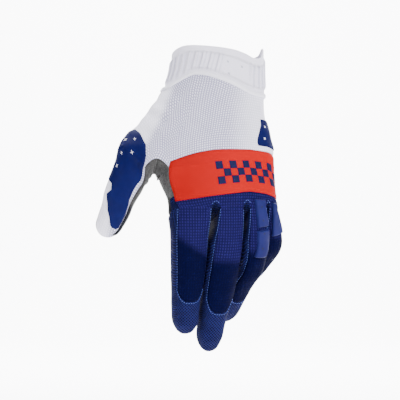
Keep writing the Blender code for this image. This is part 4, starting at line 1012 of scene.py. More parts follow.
@dataclass(frozen=True)
class MeshCloth:
    """Knitted mesh: small cells with darker lines between them, plainer where an attribute says so; that attribute also
    mixes in the second colours, which hold painted light and shade.
    """

    name: str
    thread: Colour
    gap: Colour
    plain_and_painted_shading_thread: Colour
    plain_and_painted_shading_gap: Colour
    pitch: tuple[float, float]
    gap_width: float
    depth: float = 0.00022
    roughness: float = 0.8
    gloss: float = 0.15

    def build(self) -> bpy.types.Material:
        """The material."""
        n = Nodes(self.name)
        u, v = n.cloth_axes(self.pitch, 0.0)
        lines = n.math("MAXIMUM", n.line(u, self.gap_width, 0.16), n.line(v, self.gap_width * 0.8, 0.16))
        # The 'plain' attribute mixes towards the plain colours: painted highlight on the white mesh's little-finger
        # side, painted shade on the finger mesh below the joints.
        plain = n.add("ShaderNodeAttribute", attribute_name="plain").outputs["Fac"]
        lines = n.math("MULTIPLY", lines, n.math("SUBTRACT", 1.0, n.math("MULTIPLY", plain, 0.45)))
        patchy = n.ramp(n.noise(95.0, 3.0), 0.25, 0.75)
        thread = n.mix(plain, rgba(self.thread), rgba(self.plain_and_painted_shading_thread))
        gap = n.mix(plain, rgba(self.gap), rgba(self.plain_and_painted_shading_gap))
        shade = n.mix(n.math("MULTIPLY", patchy, 0.22), thread, gap)
        fine = n.noise(2600.0, 1.0)
        height = n.math("SUBTRACT", n.math("MULTIPLY", fine, 0.25), lines)
        normal = n.bump(height, self.depth)
        return n.finish(n.mix(lines, shade, gap), self.roughness, normal, gloss=self.gloss)


@dataclass(frozen=True)
class DiamondKnit:
    """Stretch knit: threads that cross on the slant over a dark ground, painted darker where the 'shaded' attribute
    says, as painted shade near the webs.
    """

    name: str
    thread: Colour
    ground: Colour
    pitch: tuple[float, float] = (0.00165, 0.00165)
    depth: float = 0.0003

    def build(self) -> bpy.types.Material:
        """The material."""
        n = Nodes(self.name)
        u, v = n.cloth_axes(self.pitch, 45.0)
        holes = n.math("MULTIPLY", n.ramp(n.math("PINGPONG", u, 0.5), 0.10, 0.26),
                       n.ramp(n.math("PINGPONG", v, 0.5), 0.10, 0.26))
        patchy = n.ramp(n.noise(120.0, 3.0), 0.3, 0.75)
        shaded = n.add("ShaderNodeAttribute", attribute_name="shaded").outputs["Fac"]
        thread = n.mix(n.math("MULTIPLY", patchy, 0.35), rgba(self.thread), rgba(self.ground))
        # Painted shade: the threads darken towards the ground near the webs.
        thread = n.mix(n.math("MULTIPLY", shaded, 0.25), thread, rgba(self.ground))
        colour = n.mix(holes, thread, rgba(self.ground))
        normal = n.bump(n.math("SUBTRACT", n.noise(2400.0, 1.0), n.math("MULTIPLY", holes, 2.2)), self.depth)
        return n.finish(colour, 0.75, normal, 0.0, 0.04)


@dataclass(frozen=True)
class WovenBand:
    """Close woven band: fine twill, painted brighter towards the little finger's side as painted light falling from
    that side.
    """

    name: str
    shaded_thumb_side: Colour
    lit_little_side: Colour
    shadow: Colour = (0.25, 0.005, 0.004)
    pitch: tuple[float, float] = (0.0007, 0.0007)

    def build(self) -> bpy.types.Material:
        """The material."""
        n = Nodes(self.name)
        u, v = n.cloth_axes(self.pitch, 32.0)
        across = n.add("ShaderNodeAttribute", attribute_name="across").outputs["Fac"]
        # Painted light and shade: a shaded red at the thumb's side runs into a lit red at the little finger's side.
        base = n.mix(across, rgba(self.shaded_thumb_side), rgba(self.lit_little_side))
        dark = n.mix(0.35, base, rgba(self.shadow))
        rib = n.math("PINGPONG", u, 0.5)
        patchy = n.ramp(n.noise(60.0, 3.0), 0.3, 0.8)
        colour = n.mix(n.math("MULTIPLY", patchy, 0.16), base, dark)
        colour = n.mix(n.math("MULTIPLY", n.math("SUBTRACT", 0.5, rib), 0.22), colour, dark)
        normal = n.bump(n.math("ADD", rib, n.math("MULTIPLY", n.math("PINGPONG", v, 0.5), 0.5)), 0.00008)
        return n.finish(colour, 0.62, normal, 0.0, 0.06)


@dataclass(frozen=True)
class ElasticRib:
    """Cuff elastic: a fine knit of upright wales, painted darker where the 'groove' attribute says, as painted shade on
    the ribs' flanks.
    """

    name: str
    colour: Colour
    shadow: Colour

    def build(self) -> bpy.types.Material:
        """The material."""
        n = Nodes(self.name)
        u, v = n.cloth_axes((0.00095, 0.0012), 0.0)
        wale = n.math("PINGPONG", u, 0.5)
        course = n.math("PINGPONG", n.math("ADD", v, n.math("MULTIPLY", wale, 0.7)), 0.5)
        dimple = n.math("SUBTRACT", 1.0, n.math("MULTIPLY", n.ramp(wale, 0.0, 0.3), n.ramp(course, 0.0, 0.25)))
        patchy = n.ramp(n.noise(80.0, 3.0), 0.3, 0.8)
        # Painted shade: darker on the ribs' flanks, where the 'groove' attribute is high.
        groove = n.add("ShaderNodeAttribute", attribute_name="groove").outputs["Fac"]
        shade = n.math("MULTIPLY_ADD", dimple, 0.20, n.math("MULTIPLY", patchy, 0.10))
        shade = n.math("MULTIPLY_ADD", groove, 0.42, shade)
        colour = n.mix(shade, rgba(self.colour), rgba(self.shadow))
        return n.finish(colour, 0.78, n.bump(n.math("SUBTRACT", 1.0, dimple), 0.0001), 0.1, 0.2)


@dataclass(frozen=True)
class Suede:
    """Synthetic suede: short nap with worn, rubbed streaks and fine wrinkles, painted near black where the 'shaded'
    attribute says, as painted shade between the fingers.
    """

    name: str
    nap: Colour
    rubbed: Colour
    painted_slot_shade: Colour = (0.0006, 0.0009, 0.006)

    def build(self) -> bpy.types.Material:
        """The material."""
        n = Nodes(self.name)
        nap = n.noise(900.0, 6.0)
        streak = n.ramp(n.noise(140.0, 5.0), 0.35, 0.75)
        colour = n.mix(n.math("MULTIPLY", streak, 0.6), rgba(self.nap), rgba(self.rubbed))
        colour = n.mix(n.ramp(nap, 0.35, 0.8), colour, rgba(tuple(c * 0.45 for c in self.nap)))
        shaded = n.add("ShaderNodeAttribute", attribute_name="shaded").outputs["Fac"]
        # Painted shade: near black where the suede lies between the fingers.
        colour = n.mix(n.math("MULTIPLY", shaded, 0.98), colour, rgba(self.painted_slot_shade))
        height = n.math("ADD", n.math("MULTIPLY", nap, 0.6), n.noise(260.0, 4.0))
        return n.finish(colour, 0.92, n.bump(height, 0.0006), 0.15, 0.1)


@dataclass(frozen=True)
class Film:
    """Smooth flexible film or rubber: satin, with faint scuffs and a grain."""

    name: str
    colour: Colour
    worn: Colour
    roughness: float
    grain: float = 1500.0
    gloss: float = 0.25

    def build(self) -> bpy.types.Material:
        """The material."""
        n = Nodes(self.name)
        scuff = n.ramp(n.noise(70.0, 5.0), 0.35, 0.8)
        colour = n.mix(n.math("MULTIPLY", scuff, 0.55), rgba(self.colour), rgba(self.worn))
        rough = n.math("MULTIPLY_ADD", scuff, 0.12, self.roughness)
        return n.finish(colour, rough, n.bump(n.noise(self.grain, 2.0), 0.00004), 0.0, self.gloss)


@dataclass(frozen=True)
class Thread:
    """Sewing thread: two twisted strands with a soft gloss."""

    name: str
    colour: Colour

    def build(self) -> bpy.types.Material:
        """The material."""
        n = Nodes(self.name)
        fuzz = n.noise(5000.0, 2.0)
        colour = n.mix(n.math("MULTIPLY", fuzz, 0.4), rgba(self.colour), rgba(tuple(c * 0.5 for c in self.colour)))
        return n.finish(colour, 0.55, n.bump(fuzz, 0.00005))


class Finishes:
    """Every finish of the glove, made once."""

    def __init__(self) -> None:
        """Builds the materials."""
        self.white = MeshCloth("white mesh", (0.86, 0.84, 0.95), (0.30, 0.29, 0.43), (0.87, 0.85, 0.95),
                               (0.60, 0.59, 0.71), pitch=(0.00185, 0.00200), gap_width=0.36).build()
        self.navy = MeshCloth("navy mesh", (0.0150, 0.0115, 0.082), (0.0035, 0.0030, 0.032),
                              (0.0004, 0.0007, 0.020), (0.0002, 0.0004, 0.009), pitch=(0.0020, 0.0021),
                              gap_width=0.30, gloss=0.03).build()
        self.knit = DiamondKnit("navy knit", (0.0120, 0.0145, 0.090), (0.0003, 0.0004, 0.006)).build()
        self.band = WovenBand("red band", (0.27, 0.0010, 0.0008), (0.36, 0.0014, 0.0010)).build()
        self.elastic = ElasticRib("white elastic", (0.82, 0.79, 0.91), (0.40, 0.40, 0.55)).build()
        self.suede = Suede("grey suede", (0.034, 0.033, 0.033), (0.078, 0.076, 0.074)).build()
        self.film = Film("navy film", (0.0006, 0.0017, 0.041), (0.0012, 0.0040, 0.060), 0.5, gloss=0.07).build()
        self.print = Film("navy print", (0.0040, 0.0040, 0.032), (0.0055, 0.0055, 0.040), 0.6, gloss=0.08).build()
        self.rubber = Film("blue rubber", (0.0055, 0.0068, 0.064), (0.009, 0.011, 0.085), 0.55, gloss=0.10).build()
        self.blue_thread = Thread("light blue thread", (0.035, 0.070, 0.30)).build()
        self.white_thread = Thread("white thread", (0.84, 0.82, 0.93)).build()
        self.grey_mark = Film("grey mark", (0.42, 0.42, 0.52), (0.50, 0.50, 0.60), 0.7).build()
        self.dark_mark = Film("pressed mark", (0.002, 0.003, 0.030), (0.004, 0.005, 0.040), 0.7).build()


class Face(Enum):
    """How a piece's faces are shaded."""

    SMOOTH = "smooth"
    FLAT = "flat"


def make_piece(name: str, points: Array, faces: Array, finish: bpy.types.Material, slot: str,
               uv: Array | None = None, attributes: dict[str, Array] | None = None,
               shading: Face = Face.SMOOTH) -> bpy.types.Object:
    """One finished piece that rides on the glove.

    Args:
        name: Its name.
        points: (count, 3) in metres.
        faces: (count, 4) of point numbers.
        finish: Its material.
        slot: Not used.
        uv: Cloth coordinates at each face's corners, as (count, 4, 2).
        attributes: Values at the points by name.
        shading: Smooth or flat.

    Returns:
        The object.
    """
    mesh = bpy.data.meshes.new(name)
    mesh.from_pydata(points.tolist(), [], faces.tolist())
    if uv is not None:
        mesh.uv_layers.new(name="cloth").data.foreach_set("uv", uv.reshape(-1).astype(np.float32))
    for key, values in (attributes or {}).items():
        mesh.attributes.new(key, "FLOAT", "POINT").data.foreach_set("value", values.astype(np.float32))
    if shading is Face.SMOOTH:
        mesh.shade_smooth()
    mesh.materials.append(finish)
    mesh.update()
    piece = bpy.data.objects.new(name, mesh)
    bpy.context.scene.collection.objects.link(piece)
    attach(piece, "root")
    LOG.info("%s: %d faces", name, len(faces))
    return piece


def wall(piece: bpy.types.Object, thickness: float) -> None:
    """Gives a sheet its wall, inwards."""
    solid = piece.modifiers.new("wall", "SOLIDIFY")
    solid.thickness = thickness
    solid.offset = -1.0
    solid.use_even_offset = False


def cut_sheet(points: Array, faces: Array, uv: Array) -> None:
    """Works out a panel's area and the share of its cloth coordinates' box that it covers; nothing uses them."""
    corner = points[faces]
    area = np.linalg.norm(np.cross(corner[:, 2] - corner[:, 0], corner[:, 3] - corner[:, 1]), axis=1).sum() / 2
    box = np.ptp(uv.reshape(-1, 2), axis=0)
    share = area / box.prod()


def grid_faces(height: int, width: int, closed: bool = False) -> Array:
    """Faces of a grid of points, wound so that they face out of the surface that its rows run down."""
    r, c = np.meshgrid(np.arange(height - 1), np.arange(width if closed else width - 1), indexing="ij")
    d = (c + 1) % width
    return np.stack([r * width + c, (r + 1) * width + c, (r + 1) * width + d, r * width + d], -1).reshape(-1, 4)


def slab(top: Array, bottom: Array) -> tuple[Array, Array]:
    """Closed solid between two grids of the same size: both, and a rim of cells round them."""
    height, width = top.shape[:2]
    faces = grid_faces(height, width)
    index = np.arange(height * width).reshape(height, width)
    loop = np.concatenate([index[:, 0], index[-1, 1:], index[-2::-1, -1], index[0, -2:0:-1]])
    ahead = np.roll(loop, -1)
    count = height * width
    rim = np.stack([ahead, loop, loop + count, ahead + count], axis=-1)
    points = np.concatenate([top.reshape(-1, 3), bottom.reshape(-1, 3)])
    return points, np.concatenate([faces, faces[:, ::-1] + count, rim])


def joined(pieces: Sequence[tuple[Array, Array]]) -> tuple[Array, Array]:
    """Several solids as one mesh."""
    offsets = np.cumsum([0] + [len(points) for points, _ in pieces[:-1]])
    return (np.concatenate([points for points, _ in pieces]),
            np.concatenate([faces + start for start, (_, faces) in zip(offsets, pieces)]))


def crosses(strip: Strip, pixels: Sequence[tuple[float, float]], size: float, width: float, lift: float
            ) -> tuple[Array, Array]:
    """Small crosses on the surface, each two thin bars on the slant.

    Args:
        strip: The surface.
        pixels: Their centres in the photo.
        size: A bar's length, in metres.
        width: A bar's width.
        lift: Their height over the surface.

    Returns:
        Points and faces of all of them.
    """
    made = []
    step = 0.1
    for x, y in pixels:
        row, column = (value[0] for value in strip.find(at_pixel([x], [y])))
        here = strip.at(row, column)
        per_row = np.linalg.norm(strip.at(row + step, column) - here) / step
        per_column = np.linalg.norm(strip.at(row, column + step) - here) / step
        for turn in (math.radians(45), math.radians(-45)):
            along, beside = np.meshgrid(np.linspace(-size / 2, size / 2, 5), np.array([-width / 2, width / 2]))
            across = along * math.cos(turn) - beside * math.sin(turn)
            down = along * math.sin(turn) + beside * math.cos(turn)
            rows, columns = row + down / per_row, column + across / per_column
            surface, normal = strip.at(rows, columns), strip.normal(rows, columns)
            made.append(slab(surface + normal * lift, surface + normal * (lift - 0.0003)))
    return joined(made)


def laid_piece(strip: Strip, outline: Sequence[Sequence[float]], thickness: float, rows: int, columns: int,
               edge: float) -> tuple[Array, Array]:
    """A piece laid on the surface inside an outline, with its edges rounded down to the cloth.

    Its height is thickness times the root of 1 - (1 - d/edge)^2, where d is the distance to the outline.

    Args:
        strip: The surface.
        outline: Rows of (row, left, right) on it.
        thickness: Its height.
        rows: Cells down.
        columns: Cells across.
        edge: Width of the rounding.

    Returns:
        Points and faces.
    """
    table = np.array(outline)
    share = np.linspace(0, 1, columns + 1)
    share = share - 0.07 * np.sin(2 * np.pi * share)
    down = np.linspace(0, 1, rows + 1)
    down = table[0, 0] + (table[-1, 0] - table[0, 0]) * (down - 0.07 * np.sin(2 * np.pi * down))
    apart = np.abs(down[:, None] - table[None, :, 0]).min(axis=1)
    row = np.union1d(down[apart > 0.01], table[:, 0])[:, None]
    left = np.interp(row[:, 0], table[:, 0], table[:, 1])[:, None]
    right = np.interp(row[:, 0], table[:, 0], table[:, 2])[:, None]
    column = left + (right - left) * share[None]
    row = np.broadcast_to(row, column.shape)
    surface, normal = strip.at(row, column), strip.normal(row, column)
    length = np.linalg.norm(np.diff(surface, axis=1), axis=2).cumsum(axis=1)
    across = np.concatenate([np.zeros((len(row), 1)), length], axis=1)
    height = np.linalg.norm(np.diff(surface, axis=0), axis=2).cumsum(axis=0)
    along = np.concatenate([np.zeros((1, columns + 1)), height])
    to_edge = np.minimum(np.minimum(across, across[:, -1:] - across), np.minimum(along, along[-1:] - along))
    fall = np.clip(1 - to_edge / edge, 0, 1)
    lift = thickness * np.sqrt(1 - fall**2)
    return slab(surface + normal * (lift + 0.0001)[..., None], surface - normal * 0.0005)


def capsules(path: Array, normals: Array, spacing: float, length: float, radius: float, sink: float
             ) -> tuple[Array, Array]:
    """Stitches along a path: one small closed capsule every so often, half sunk in the cloth.

    The capsule's radius over its length t from -1 to 1 is that of a superellipse, (1 - |t|^3)^(1/3).

    Args:
        path: Points of the path.
        normals: The cloth's normals there.
        spacing: From one stitch to the next.
        length: A stitch's length.
        radius: Its half thickness.
        sink: How far its middle lies under the cloth.

    Returns:
        Points and faces of all of them.
    """
    steps = np.linalg.norm(np.diff(path, axis=0), axis=1)
    along = np.concatenate([[0], steps.cumsum()])
    at = np.arange(spacing / 2, along[-1], spacing)
    centre = np.stack([np.interp(at, along, path[:, i]) for i in range(3)], axis=-1)
    ahead = np.stack([np.interp(at + length / 4, along, path[:, i]) for i in range(3)], axis=-1)
    behind = np.stack([np.interp(at - length / 4, along, path[:, i]) for i in range(3)], axis=-1)
    out = unit(np.stack([np.interp(at, along, normals[:, i]) for i in range(3)], axis=-1))
    way = unit(ahead - behind)
    side = unit(np.cross(out, way))
    t = np.array([-1.0, -0.82, 0.0, 0.82, 1.0])
    turn = np.arange(6) / 6 * 2 * np.pi
    girth = np.maximum((1 - np.abs(t) ** 3) ** (1 / 3), 0.12)
    ring = np.stack([t[:, None] * length / 2 + 0 * turn, radius * girth[:, None] * np.cos(turn),
                     radius * girth[:, None] * np.sin(turn)], axis=-1)
    points = (centre[:, None, None] - out[:, None, None] * sink + way[:, None, None] * ring[None, ..., :1]
              + side[:, None, None] * ring[None, ..., 1:2] + out[:, None, None] * ring[None, ..., 2:])
    faces = grid_faces(len(t), len(turn), True)
    caps = np.array([[3, 2, 1, 0], [5, 4, 3, 0], [24, 25, 26, 27], [24, 27, 28, 29]])
    faces = np.concatenate([faces, caps])
    return points.reshape(-1, 3), (faces[None] + np.arange(len(at))[:, None, None] * ring.size // 3).reshape(-1, 4)


@dataclass
class Panels:
    """The cloth panels of the hand: mesh back, knuckle band, finger backs and sides, and suede palm."""

    surface: GloveSurface
    finishes: Finishes
    mesh_wall: float = 0.0012
    band_wall: float = 0.0016
    suede_wall: float = 0.0012
    # Depths of the painted shade: on the knit from the webs down, and on the suede between the fingers and below the
    # webs.
    shade_from: float = 0.118
    shade_length: float = 0.060
    slots_from: float = 0.110
    webs: tuple[float, float] = (0.114, 0.144)
    # Where the band's painted light runs from its shaded red to its lit red: X where it starts, and its width.
    band_mix: tuple[float, float] = (-0.030, 0.05)

    def build(self) -> None:
        """Makes every panel."""
        f = self.finishes
        self.back()
        self.band()
        self.finger_backs()
        for cloth, name, node in ((Cloth.PALM, "palm_suede", "palm_panel"),
                                  (Cloth.THUMB_PALM, "thumb_suede", "thumb_palm")):
            points, faces, uv = self.surface.panel(cloth)
            # Painted shade: suede at the webs, and suede below them that faces sideways, is marked to be painted near
            # black.
            backwards, down = vertex_normals(points, faces)[:, 1], -points[:, 2]
            shaded = smooth_step((0.60 - backwards) / 0.5) * smooth_step((down - self.slots_from) / 0.006)
            webs = smooth_step((down - self.webs[0]) / 0.006) * smooth_step((self.webs[1] - down) / 0.010)
            shaded = np.maximum(shaded, webs * smooth_step((0.92 - backwards) / 0.35))
            piece = make_piece(name, points, faces, f.suede, "grey_suede", uv, {"shaded": shaded})
            wall(piece, self.suede_wall)
            cut_sheet(points, faces, uv)
            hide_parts(node)
        for finger in FINGERS:
            points, faces, uv = self.surface.panel(finger.cloth)
            # Painted shade: the knit is darkest at the webs and lightens towards the tips.
            shaded = 1 - smooth_step((-points[:, 2] - self.shade_from) / self.shade_length)
            piece = make_piece("knit_" + finger.name, points, faces, f.knit, "navy_knit", uv, {"shaded": shaded})
            wall(piece, self.mesh_wall)
            cut_sheet(points, faces, uv)
            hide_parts("finger_sides_" + finger.name)

    def back(self) -> None:
        """The white mesh, plain along the thumb's outer edge, with its gaps painted lighter towards the little finger's
        side as a painted highlight of the light from that side.
        """
        points, faces, uv = self.surface.panel(Cloth.BACK)
        left_edge = np.interp(-points[:, 2], *np.array(WHITE_EDGE).T)
        plain = 1 - smooth_step((points[:, 0] - left_edge - 0.001) / 0.007)
        # Painted highlight: lighter gaps towards the little finger's side, where the light falls.
        plain = np.maximum(plain, 0.75 * smooth_step((points[:, 0] - 0.004) / 0.026))
        piece = make_piece("back_mesh", points, faces, self.finishes.white, "white_mesh", uv, {"plain": plain})
        wall(piece, self.mesh_wall)
        cut_sheet(points, faces, uv)
        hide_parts("back_panel")

    def band(self) -> None:
        """The red band over the knuckles, in two reds that run into each other across it: painted shade at the thumb's
        side, painted light at the little finger's side.
        """
        points, faces, uv = self.surface.panel(Cloth.BAND)
        # Painted light: the band's red grows brighter towards the little finger's side.
        across = smooth_step((points[:, 0] - self.band_mix[0]) / self.band_mix[1])
        piece = make_piece("red_band", points, faces, self.finishes.band, "red_band", uv, {"across": across})
        wall(piece, self.band_wall)
        cut_sheet(points, faces, uv)
        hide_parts("knuckle_band")

    def finger_backs(self) -> None:
        """The navy mesh: below each finger's middle joint it is plainer, and painted darker as painted shade where the
        finger turns away from the light.
        """
        points, faces, uv = self.surface.panel(Cloth.FINGER_BACK)
        edges = at_pixel(*np.array(JOINT_PIXELS).T)
        joint = np.interp(points[:, 0], edges[:, 0], edges[:, 1])
        # Painted shade below each joint line, mixed with the plainer weave there.
        plain = smooth_step((joint - points[:, 2]) / 0.0085 + 0.4)
        piece = make_piece("finger_mesh", points, faces, self.finishes.navy, "navy_mesh", uv, {"plain": plain})
        wall(piece, self.mesh_wall)
        cut_sheet(points, faces, uv)
        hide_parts("finger_back_panel")


@dataclass
class Cuff:
    """The elastic sleeve with slanted ribs, its smooth tab and the rolled seam below it."""

    surface: GloveSurface
    finishes: Finishes
    ribs: int = 36
    rib_depth: float = 0.00130
    cuff_wall: float = 0.0016
    seam_width: float = 0.0034
    seam_height: float = 0.0013
    columns: int = 528
    rows: int = 56
    cross: tuple[float, float, float] = (0.0021, 0.0005, 0.00025)

    def build(self) -> None:
        """Makes the sleeve, its three pressed marks and the seam."""
        form = self.surface.form
        turn = np.arange(self.columns) / self.columns * 2
        angle = turn * np.pi
        first = self.surface.blocks["trunk"][0]
        seam = np.interp(angle, self.ring_angles(), -first[:, 2], period=2 * np.pi)
        table = np.array(CUFF_EDGE)
        edge = -curve(table[:, 0], table[:, 1], turn) * CUFF_LENGTH
        t = np.linspace(0, 1, self.rows + 1)[:, None]
        grid = form.on_slice(edge + (seam - edge) * t, angle[None])
        outwards = unit(np.cross(np.gradient(grid, axis=0), np.roll(grid, -1, axis=1) - np.roll(grid, 1, axis=1)))
        ribs = self.relief(turn, t)
        grid = grid + outwards * (self.rib_depth * (ribs - 0.25))[..., None]
        # Painted shade on the ribs' flanks, by their steepness; the inner wall and the fold get none.
        slope = np.abs(np.roll(ribs, -1, axis=1) - np.roll(ribs, 1, axis=1))
        groove = np.concatenate([np.zeros((len(t) + 1, self.columns)), slope / slope.max()])
        lip = grid[0] - outwards[0] * self.cuff_wall
        fold = (grid[0] + lip) / 2 + np.array([0, 0, self.cuff_wall * 0.45])
        inner = (grid - outwards * self.cuff_wall)[::-1]
        whole = np.concatenate([inner, fold[None], grid])
        faces = grid_faces(len(whole), self.columns, True)
        uv = arc_uv(whole, True, 0, len(inner))
        r, c = np.meshgrid(np.arange(len(whole) - 1), np.arange(self.columns), indexing="ij")
        corners = np.stack([uv[r, c], uv[r + 1, c], uv[r + 1, c + 1], uv[r, c + 1]], axis=2).reshape(-1, 4, 2)
        piece = make_piece("cuff_elastic", whole.reshape(-1, 3), faces, self.finishes.elastic, "white_elastic",
                           corners, {"groove": groove.reshape(-1)})
        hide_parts("cuff")
        strip = Strip(grid[:, : self.columns // 2])
        marks = crosses(strip, CUFF_CROSSES, *self.cross)
        make_piece("cuff_marks", *marks, self.finishes.grey_mark, "white_elastic", shading=Face.FLAT)
        self.seam_roll()

    def relief(self, turn: Array, t: Array) -> Array:
        """Ribs from 0 to 1 as rounded waves that lean over, fading at both ends, with none on the smooth tab."""
        phase = turn[None] / 2 * self.ribs + 0.75 * t
        wave = smooth_step(np.cos(2 * np.pi * phase) * 1.1 + 0.35)
        ends = smooth_step((t - 0.14) / 0.12) * smooth_step((0.88 - t) / 0.12)
        tab = smooth_step((turn - 0.50) / 0.02) * smooth_step((0.72 - turn) / 0.02)
        return wave * ends * (1 - tab[None])

    def ring_angles(self) -> Array:
        """The slice angle of every point of the trunk's first row, from the thumb's side over the back."""
        form = self.surface.form
        count = len(form.columns)
        ring = form.trunk_rows()[0]
        row = curve(form.trunk[:, 0], form.trunk, -ring[:, 2])
        share = form.crotch_shares()
        power = row[:, 7] / 2
        back = np.arccos(-signed_power(share, power[:count]))
        palm = 2 * np.pi - np.arccos(-signed_power(share[::-1], power[count + M - 1 : 2 * count + M - 1]))
        step = np.arange(1, M) / M
        right = back[-1] + (palm[0] - back[-1]) * step
        left = palm[-1] + (2 * np.pi + back[0] - palm[-1]) * step
        return np.concatenate([back, right, palm, left])

    def seam_roll(self) -> None:
        """The rolled seam: a flattened closed tube round the trunk's first row."""
        path = self.surface.blocks["trunk"][0]
        down = unit(self.surface.blocks["trunk"][1] - path)
        way = unit(np.roll(path, -1, axis=0) - np.roll(path, 1, axis=0))
        out = unit(np.cross(down, way))
        turn = np.arange(14) / 14 * 2 * np.pi
        grid = (path[None] + down[None] * (self.seam_width / 2 * np.cos(turn))[:, None, None]
                + out[None] * (self.seam_height * (0.6 * np.sin(turn) + 0.35))[:, None, None])
        height, width = grid.shape[:2]
        r, c = np.meshgrid(np.arange(height), np.arange(width), indexing="ij")
        s, d = (r + 1) % height, (c + 1) % width
        faces = np.stack([r * width + c, r * width + d, s * width + d, s * width + c], -1).reshape(-1, 4)
        make_piece("cuff_seam", grid.reshape(-1, 3), faces, self.finishes.white_thread, "white_elastic")


@dataclass
class Patches:
    """What is laid on the cloth: the thumb's and the side's film patches, the finger guards and the band's checks."""

    surface: GloveSurface
    finishes: Finishes
    patch_height: float = 0.0009
    guard_height: float = 0.0022
    patch_edge: float = 0.0012
    guard_edge: float = 0.0014
    thumb_cross: tuple[float, float] = (0.0027, 0.00034)
    side_cross: tuple[float, float] = (0.0021, 0.00036)
    guard_cross: tuple[float, float] = (0.0019, 0.0005)
    check_rows: int = 3
    check_columns: int = 10
    check_size: float = 0.0056
    check_lean: float = 0.0036
    check_left: float = 214.5
    check_top: float = 0.98
    check_middle: float = 2.4
    check_low: float = 3.72

    def build(self) -> None:
        """Makes every laid piece with its marks."""
        f = self.finishes
        thumb, side = self.surface.thumb_strip(), self.surface.ulnar_strip()
        laid = laid_piece(thumb, THUMB_PATCH, self.patch_height, 150, 44, self.patch_edge)
        piece = make_piece("thumb_film", *laid, f.film, "navy_film")
        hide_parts("thumb_patch")
        marks = crosses(thumb, THUMB_CROSSES, *self.thumb_cross, self.patch_height + 0.00025)
        make_piece("thumb_marks", *marks, f.white_thread, "white_mesh", shading=Face.FLAT)
        laid = laid_piece(side, SIDE_PATCH, self.patch_height, 60, 44, self.patch_edge)
        piece = make_piece("side_film", *laid, f.film, "navy_film")
        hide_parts("side_patch")
        marks = crosses(side, SIDE_CROSSES, *self.side_cross, self.patch_height + 0.00025)
        make_piece("side_marks", *marks, f.white_thread, "white_mesh", shading=Face.FLAT)
        self.guards()
        self.checks()

    def guards(self) -> None:
        """The rubber guards over the ring and the little finger, with crosses pressed into them."""
        f = self.finishes
        ring, little = self.surface.finger_strip(FINGERS[2]), self.surface.finger_strip(FINGERS[3])
        for name, strip, outline, node in (("ring_guard_top", ring, RING_GUARD_UPPER, "ring_guard_upper"),
                                           ("ring_guard_end", ring, RING_GUARD_LOWER, "ring_guard_lower"),
                                           ("little_guard_pad", little, LITTLE_GUARD, "little_guard")):
            laid = laid_piece(strip, outline, self.guard_height, 48, 28, self.guard_edge)
            piece = make_piece(name, *laid, f.rubber, "blue_rubber")
            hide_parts(node)
        marks = crosses(ring, GUARD_CROSSES, *self.guard_cross, self.guard_height + 0.0002)
        make_piece("ring_guard_marks", *marks, f.dark_mark, "blue_rubber", shading=Face.FLAT)

    def checks(self) -> None:
        """A plain slanted check on the band: every second cell of a small slanted grid, as flat print.

        It is laid out by length across the band and by share of its height, so that it runs on round the
        little finger's side.
        """
        strip = self.surface.band_strip()
        columns = np.arange(strip.points.shape[1]) / FINE_ACROSS
        middle = strip.at(np.full(len(columns), self.check_middle), columns)
        length = np.concatenate([[0], np.linalg.norm(np.diff(middle, axis=0), axis=1).cumsum()])
        start = np.interp(at_pixel(self.check_left, 0)[0], middle[: 14 * FINE_ACROSS, 0], length[: 14 * FINE_ACROSS])
        u, v = np.meshgrid(np.linspace(0, 1, 7), np.linspace(0, 1, 7))
        made = []
        for r in range(self.check_rows):
            for c in range(self.check_columns):
                if (r + c) % 2:
                    continue
                down = (r + v) / self.check_rows
                across = start + self.check_size * (c + u) + self.check_lean * down
                row = self.check_top + (self.check_low - self.check_top) * down
                column = np.interp(across, length, columns)
                surface, normal = strip.at(row, column), strip.normal(row, column)
                made.append(slab(surface + normal * 0.00020, surface - normal * 0.00020))
        make_piece("band_checks", *joined(made), self.finishes.print, "navy_film")


@dataclass
class Stitching:
    """Rows of stitches: light blue round each tongue of the finger mesh."""

    surface: GloveSurface
    finishes: Finishes
    spacing: float = 0.00190
    length: float = 0.00120
    radius: float = 0.00025
    sink: float = -0.0002

    def build(self) -> None:
        """Makes one row round each finger's tongue."""
        for finger in FINGERS:
            block = self.surface.blocks[finger.name]
            end = TONGUE_CELLS * FINE_DOWN
            rows = np.concatenate([np.arange(1, end), np.full(N + 1, end + 1), np.arange(end - 1, 0, -1)])
            columns = np.concatenate([np.full(end - 1, 0), np.arange(N + 1), np.full(end - 1, N)])
            normals = self.normals(block, rows, columns)
            parts = [capsules(block[rows, columns], normals, self.spacing, self.length, self.radius, self.sink)]
            if finger is not FINGERS[-1]:
                parts.append(self.slot(finger))
            make_piece("stitches_" + finger.name, *joined(parts), self.finishes.blue_thread, "navy_knit")

    def slot(self, finger: Finger) -> tuple[Array, Array]:
        """Stitches round the top of the slot beside a finger."""
        hand = self.surface.blocks["hand"]
        start = self.surface.form.finger_start(finger) + N
        columns = np.arange(start, start + SLOT_CELLS * FINE_ACROSS + 1)
        rows = np.full(len(columns), len(hand) - 3)
        return capsules(hand[rows, columns], self.normals(hand, rows, columns), self.spacing, self.length,
                        self.radius, self.sink)

    def normals(self, block: Array, rows: Array, columns: Array) -> Array:
        """Outward normals of a block at whole rows and columns, from its neighbours."""
        width = block.shape[1]
        down = block[rows + 1, columns % width] - block[rows - 1, columns % width]
        across = block[rows, (columns + 1) % width] - block[rows, (columns - 1) % width]
        return unit(np.cross(down, across))


